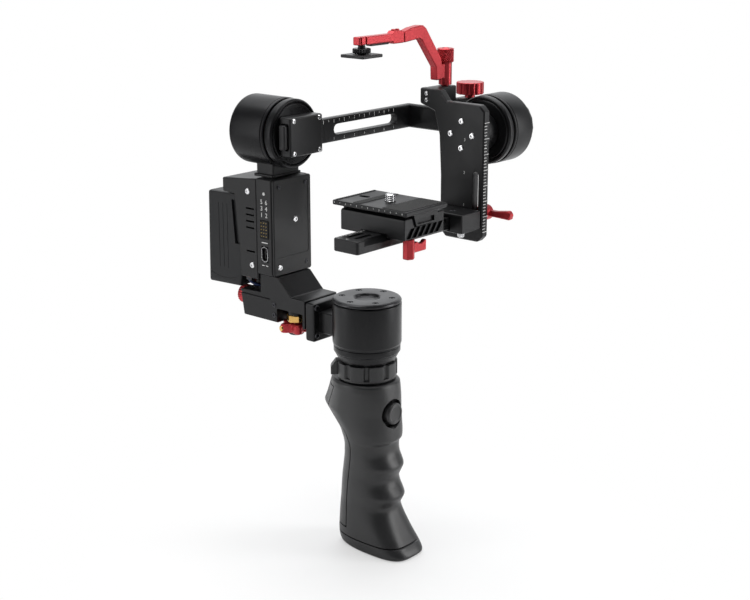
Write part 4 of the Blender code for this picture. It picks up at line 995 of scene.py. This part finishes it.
def build_stage():
    refinished("height_carriage", "stage", "black", 0.3)
    screws("carriage_bolt", "stage", [(53.5, y, 217.3) for y in (-26.0, -15.0)], (0, 0, 1), 1.9,
           0.5, "dark_steel")
    bar = refined("lateral_bar", 0)
    pockets = [slab("pocket", "Z", rounded((x0, y - 1.6), (x1, y + 1.6), 1.4),
                    (BAR_TOP - 1.0, BAR_TOP + 2.0))
               for x0, x1 in ((-35.5, -20.5), (20.5, 43.0)) for y in (-21.6, -15.6)]
    cut(bar, *pockets)
    piece(soften(bar, 0.2, 2), "stage", "black", "lateral_bar")
    skin = (BAR_TOP - 0.02, BAR_TOP + 0.05)
    scale("bar_scale", "stage", (36, -40.0, 2.0), 5, (2.4, 1.4), 0.16,
          lambda along, length: (along, (-10.6 - length, -10.6), skin))
    for i, x in ((4, -39.0), (3, 22.0), (2, 32.0), (1, 42.0)):
        numeral("bar_number_%d" % i, "stage", str(i), 3.4, (x, -18.6, BAR_TOP + 0.03),
                (1, 0, 0), (0, 1, 0))
    head = turned("carriage_screw_head", "Z", (50.5, -34.8),
                  [(0, 209.0), (1.25, 209.0), (1.25, 204.7), (2.0, 204.7), (2.05, 204.4),
                   (2.05, 202.6), (1.7, 202.1), (1.1, 202.1), (1.0, 202.9), (0, 202.9)],
                  steps=144, ease=0.15, ripple=knurled(24, 0.1, 1.95))
    piece(head, "stage", "steel", "carriage_screw")

    refinished("height_lever", "stage_lever", "red", 0.3)
    y, z = -34.0, 213.6
    screw("height_lever_screw", "stage_lever", (80.1, y, z), (1, 0, 0), 2.4, 0.7)

    refinished("release_base", "base", "black", 0.32)
    screws("base_side_screw", "base", [(CAMERA_X + x, 7.9, 219.0) for x in (-14.2, 14.2)],
           (0, 1, 0), 1.7, 0.6, "dark_steel")
    bolts = [(CAMERA_X + x, y, 212.7) for y in (-36.0, 2.0) for x in (-15.4, 15.4)]
    screws("base_bolt", "base", bolts, (0, 0, -1), 2.1, 0.6, "dark_steel")
    refinished("release_lever", "base_lever", "red", 0.3)
    screw("release_lever_screw", "base_lever", (-6.5, -39.0, 199.7), (0, 0, -1), 2.0, 0.5)

    top = 230.4
    refinished("camera_plate", "platform", "black", 0.22)
    for i, (low, high) in enumerate(((-43.0, -25.0), (-7.5, -1.5), (11.0, 12.8))):
        pad = slab("plate_pad_%d" % i, "Z",
                   rounded((CAMERA_X - 18.5, low), (CAMERA_X + 18.5, high), 0.8),
                   (top - 0.1, top + 0.35))
        ridges = [box("ridge", (x - 0.3, x + 0.3), (low - 1, high + 1), (top + 0.15, top + 2))
                  for x in [CAMERA_X - 17.0 + 2.0 * k for k in range(18)]]
        cut(pad, *ridges)
        piece(soften(pad, 0.08, 2), "platform", "rubber")
    skin = (CAMERA_X - 20.06, CAMERA_X - 19.96)
    scale("plate_scale", "platform", (13, -42.0, 4.5), 2, (1.2, 0.72), 0.15,
          lambda along, length: (skin, along, (229.7 - length, 229.7)))

    thread = [(0, 235.2), (2.4, 235.2), (2.7, 234.9)]
    turns = 8
    pitch = 1.27
    for i in range(turns):
        low = 234.5 - i * pitch
        thread += [(3.17, low), (3.17, low - 0.15), (2.65, low - 0.6), (2.65, low - 0.75)]
    thread += [(2.9, 224.2), (6.0, 224.2), (6.2, 223.9), (6.2, 221.4), (5.9, 221.0), (0, 221.0)]
    stud = turned("camera_screw_thread", "Z", (CAMERA_X, -16.0), thread, steps=72, ease=0.08)
    slot = box("slot", (CAMERA_X - 7, CAMERA_X + 7), (-16.6, -15.4), (215.0, 222.2))
    crisp(cut(stud, slot))
    piece(stud, "platform_screw", "steel", "camera_screw")


# --- top clamp ---
CLAMP_Y = 7.0
CLAMP_SCREW_AT = (86.0, CLAMP_Y)


def build_top_clamp():
    refinished("top_bar", "top_clamp", "red", 0.3)
    refinished("top_arm", "top_clamp", "red", 0.35, 3)
    screws("boss_screw", "top_clamp", [(x, CLAMP_Y, 329.8) for x in (33.2, 36.9)], (0, 0, 1),
           1.45, 1.0, "red")
    strip = box("top_bar_pad", (10.0, 26.5), (CLAMP_Y - 2.2, CLAMP_Y + 2.2), (322.2, 323.5))
    piece(soften(strip, 0.3), "top_clamp", "rubber")
    refinished("shoe_foot", "top_clamp", "black", 0.2)
    wheel = turned("shoe_wheel_disc", "Z", (CAMERA_X, CLAMP_Y),
                   [(5.0, 321.5), (5.4, 321.1), (5.4, 318.9), (5.0, 318.5), (2.8, 318.5),
                    (2.8, 321.5)], closed=True, steps=192,
                   ripple=knurled(24, 0.2, 5.0), ease=0.12)
    piece(wheel, "shoe_lock", "black_z", "shoe_wheel")

    low, high = 306.6, 314.4
    diamonds, pitch, depth = 22, 1.6, 0.55

    def triangle(x):
        return abs(2 * (x - math.floor(x)) - 1)

    def diamond(radius, height, angle):
        if radius < 5.3 or not low < height < high:
            return radius
        turn = diamonds * angle / (2 * math.pi)
        peak = min(triangle(turn + height / pitch), triangle(turn - height / pitch))
        return radius - depth * (1 - peak)

    profile = [(0, 314.4), (2.0, 314.4), (2.6, 315.0), (5.0, 315.0), (5.6, high)]
    profile += [(5.6, high - (high - low) * i / 40) for i in range(1, 41)]
    profile += [(5.0, 306.0), (2.4, 306.0), (2.2, 305.4), (2.2, 284.0), (1.6, 283.0), (0, 283.0)]
    head = turned("clamp_screw_body", "Z", CLAMP_SCREW_AT, profile, steps=240, ease=0,
                  ripple=diamond)
    piece(crisp(head, 24.0), "top_clamp_lock", "red", "top_clamp_screw")


# --- inner parts that keep their CAD shape ---
INNER_LOOKS = {
    "grip_core_tube": "steel", "button_switch": "board", "pan_stator": "copper",
    "pan_bearing": "steel", "pan_shaft": "steel", "pan_magnet_ring": "steel",
    "arm_lock_screw": "steel", "controller_board": "board", "roll_stator": "copper",
    "roll_bearing": "steel", "tilt_stator": "copper",
}


def dress_inner_parts():
    for node, look in INNER_LOOKS.items():
        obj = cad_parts[node]
        obj.data.materials.clear()
        obj.data.materials.append(LOOKS[look][0])


# --- studio ---
BACKDROP_WAY = (0.74, 0.63, 0.22)   # from the gimbal to the middle of the backdrop
BACKDROP_LIGHT = 1.2
ROOM_LIGHT = 0.14


def area_light(name, at, target, size, power):
    light = bpy.data.lights.new(name, "AREA")
    light.shape = "RECTANGLE"
    light.size, light.size_y = size
    light.energy = power
    obj = bpy.data.objects.new(name, light)
    bpy.context.scene.collection.objects.link(obj)
    obj.location = at
    obj.rotation_mode = "QUATERNION"
    obj.rotation_quaternion = (Vector(target) - Vector(at)).to_track_quat("-Z", "Y")
    return obj


def whitened(material, near, far, least):
    """Let the eye see a floor as pure white, except for its shadow near the middle."""
    nodes = material.node_tree.nodes
    link = material.node_tree.links.new
    place = nodes.new("ShaderNodeTexCoord")
    reach = nodes.new("ShaderNodeVectorMath")
    reach.operation = "LENGTH"
    link(place.outputs["Object"], reach.inputs[0])
    share = value_range(nodes, (near, far), (least, 1.0), "SMOOTHSTEP")
    link(reach.outputs["Value"], share.inputs["Value"])
    path = nodes.new("ShaderNodeLightPath")
    factor = nodes.new("ShaderNodeMath")
    factor.operation = "MULTIPLY"
    link(share.outputs["Result"], factor.inputs[0])
    link(path.outputs["Is Camera Ray"], factor.inputs[1])
    glow = nodes.new("ShaderNodeEmission")
    glow.inputs["Strength"].default_value = 1.0
    mix = nodes.new("ShaderNodeMixShader")
    link(factor.outputs["Value"], mix.inputs["Fac"])
    link(nodes["Principled BSDF"].outputs["BSDF"], mix.inputs[1])
    link(glow.outputs["Emission"], mix.inputs[2])
    link(mix.outputs["Shader"], nodes["Material Output"].inputs["Surface"])


def build_studio():
    """A white floor, a bright backdrop behind the gimbal, a dim room and soft boxes."""
    floor_mesh = bpy.data.meshes.new("studio_floor")
    half = 6.0
    floor_mesh.from_pydata([(-half, -half, 0), (half, -half, 0), (half, half, 0),
                            (-half, half, 0)], [], [(0, 1, 2, 3)])
    floor = put("studio_floor", floor_mesh)
    floor.location.z = -0.0002
    pale = surface("pale_floor", (0.86, 0.86, 0.86), 0.6, tone=0.01)
    whitened(pale, 0.03, 0.20, 0.45)
    floor_mesh.materials.append(pale)

    world = bpy.data.worlds.new("studio_room")
    bpy.context.scene.world = world
    world.use_nodes = True
    nodes = world.node_tree.nodes
    link = world.node_tree.links.new
    seen = nodes["Background"]
    seen.inputs["Color"].default_value = (1, 1, 1, 1)
    seen.inputs["Strength"].default_value = 1.0
    lit = nodes.new("ShaderNodeBackground")
    lit.inputs["Color"].default_value = (0.97, 0.985, 1.0, 1)
    place = nodes.new("ShaderNodeTexCoord")
    toward = nodes.new("ShaderNodeVectorMath")
    toward.operation = "DOT_PRODUCT"
    toward.inputs[1].default_value = BACKDROP_WAY
    link(place.outputs["Generated"], toward.inputs[0])
    share = value_range(nodes, (0.35, 0.85), (ROOM_LIGHT, BACKDROP_LIGHT), "SMOOTHSTEP")
    link(toward.outputs["Value"], share.inputs["Value"])
    link(share.outputs["Result"], lit.inputs["Strength"])
    path = nodes.new("ShaderNodeLightPath")
    mix = nodes.new("ShaderNodeMixShader")
    link(path.outputs["Is Camera Ray"], mix.inputs["Fac"])
    link(lit.outputs["Background"], mix.inputs[1])
    link(seen.outputs["Background"], mix.inputs[2])
    link(mix.outputs["Shader"], nodes["World Output"].inputs["Surface"])

    middle = (0.03, 0.02, 0.18)
    area_light("top_box", (0.1, 0.15, 1.25), middle, (1.1, 1.1), 15)
    area_light("left_box", (-1.0, 0.75, 0.5), middle, (0.4, 1.0), 4)
    area_light("right_box", (0.8, -1.0, 0.5), middle, (0.35, 1.2), 9)

    camera_data = bpy.data.cameras.new("photo_camera")
    camera_data.sensor_width = 36.0
    camera_data.lens = 68.6
    camera_data.clip_start = 0.01
    camera = bpy.data.objects.new("photo_camera", camera_data)
    bpy.context.scene.collection.objects.link(camera)
    camera.location = (-0.6525, -0.5679, 0.4148)
    azimuth, pitch = math.radians(-49.3), math.radians(16.1)
    look = Vector((-math.sin(azimuth) * math.cos(pitch), math.cos(azimuth) * math.cos(pitch),
                   -math.sin(pitch)))
    camera.rotation_mode = "QUATERNION"
    camera.rotation_quaternion = look.to_track_quat("-Z", "Y")
    bpy.context.scene.camera = camera
    bpy.context.scene.view_settings.view_transform = "Standard"


build_grip()
build_collar()
build_pan_motor()
build_arm()
build_controller()
build_roll()
build_tilt()
build_stage()
build_top_clamp()
dress_inner_parts()
build_studio()
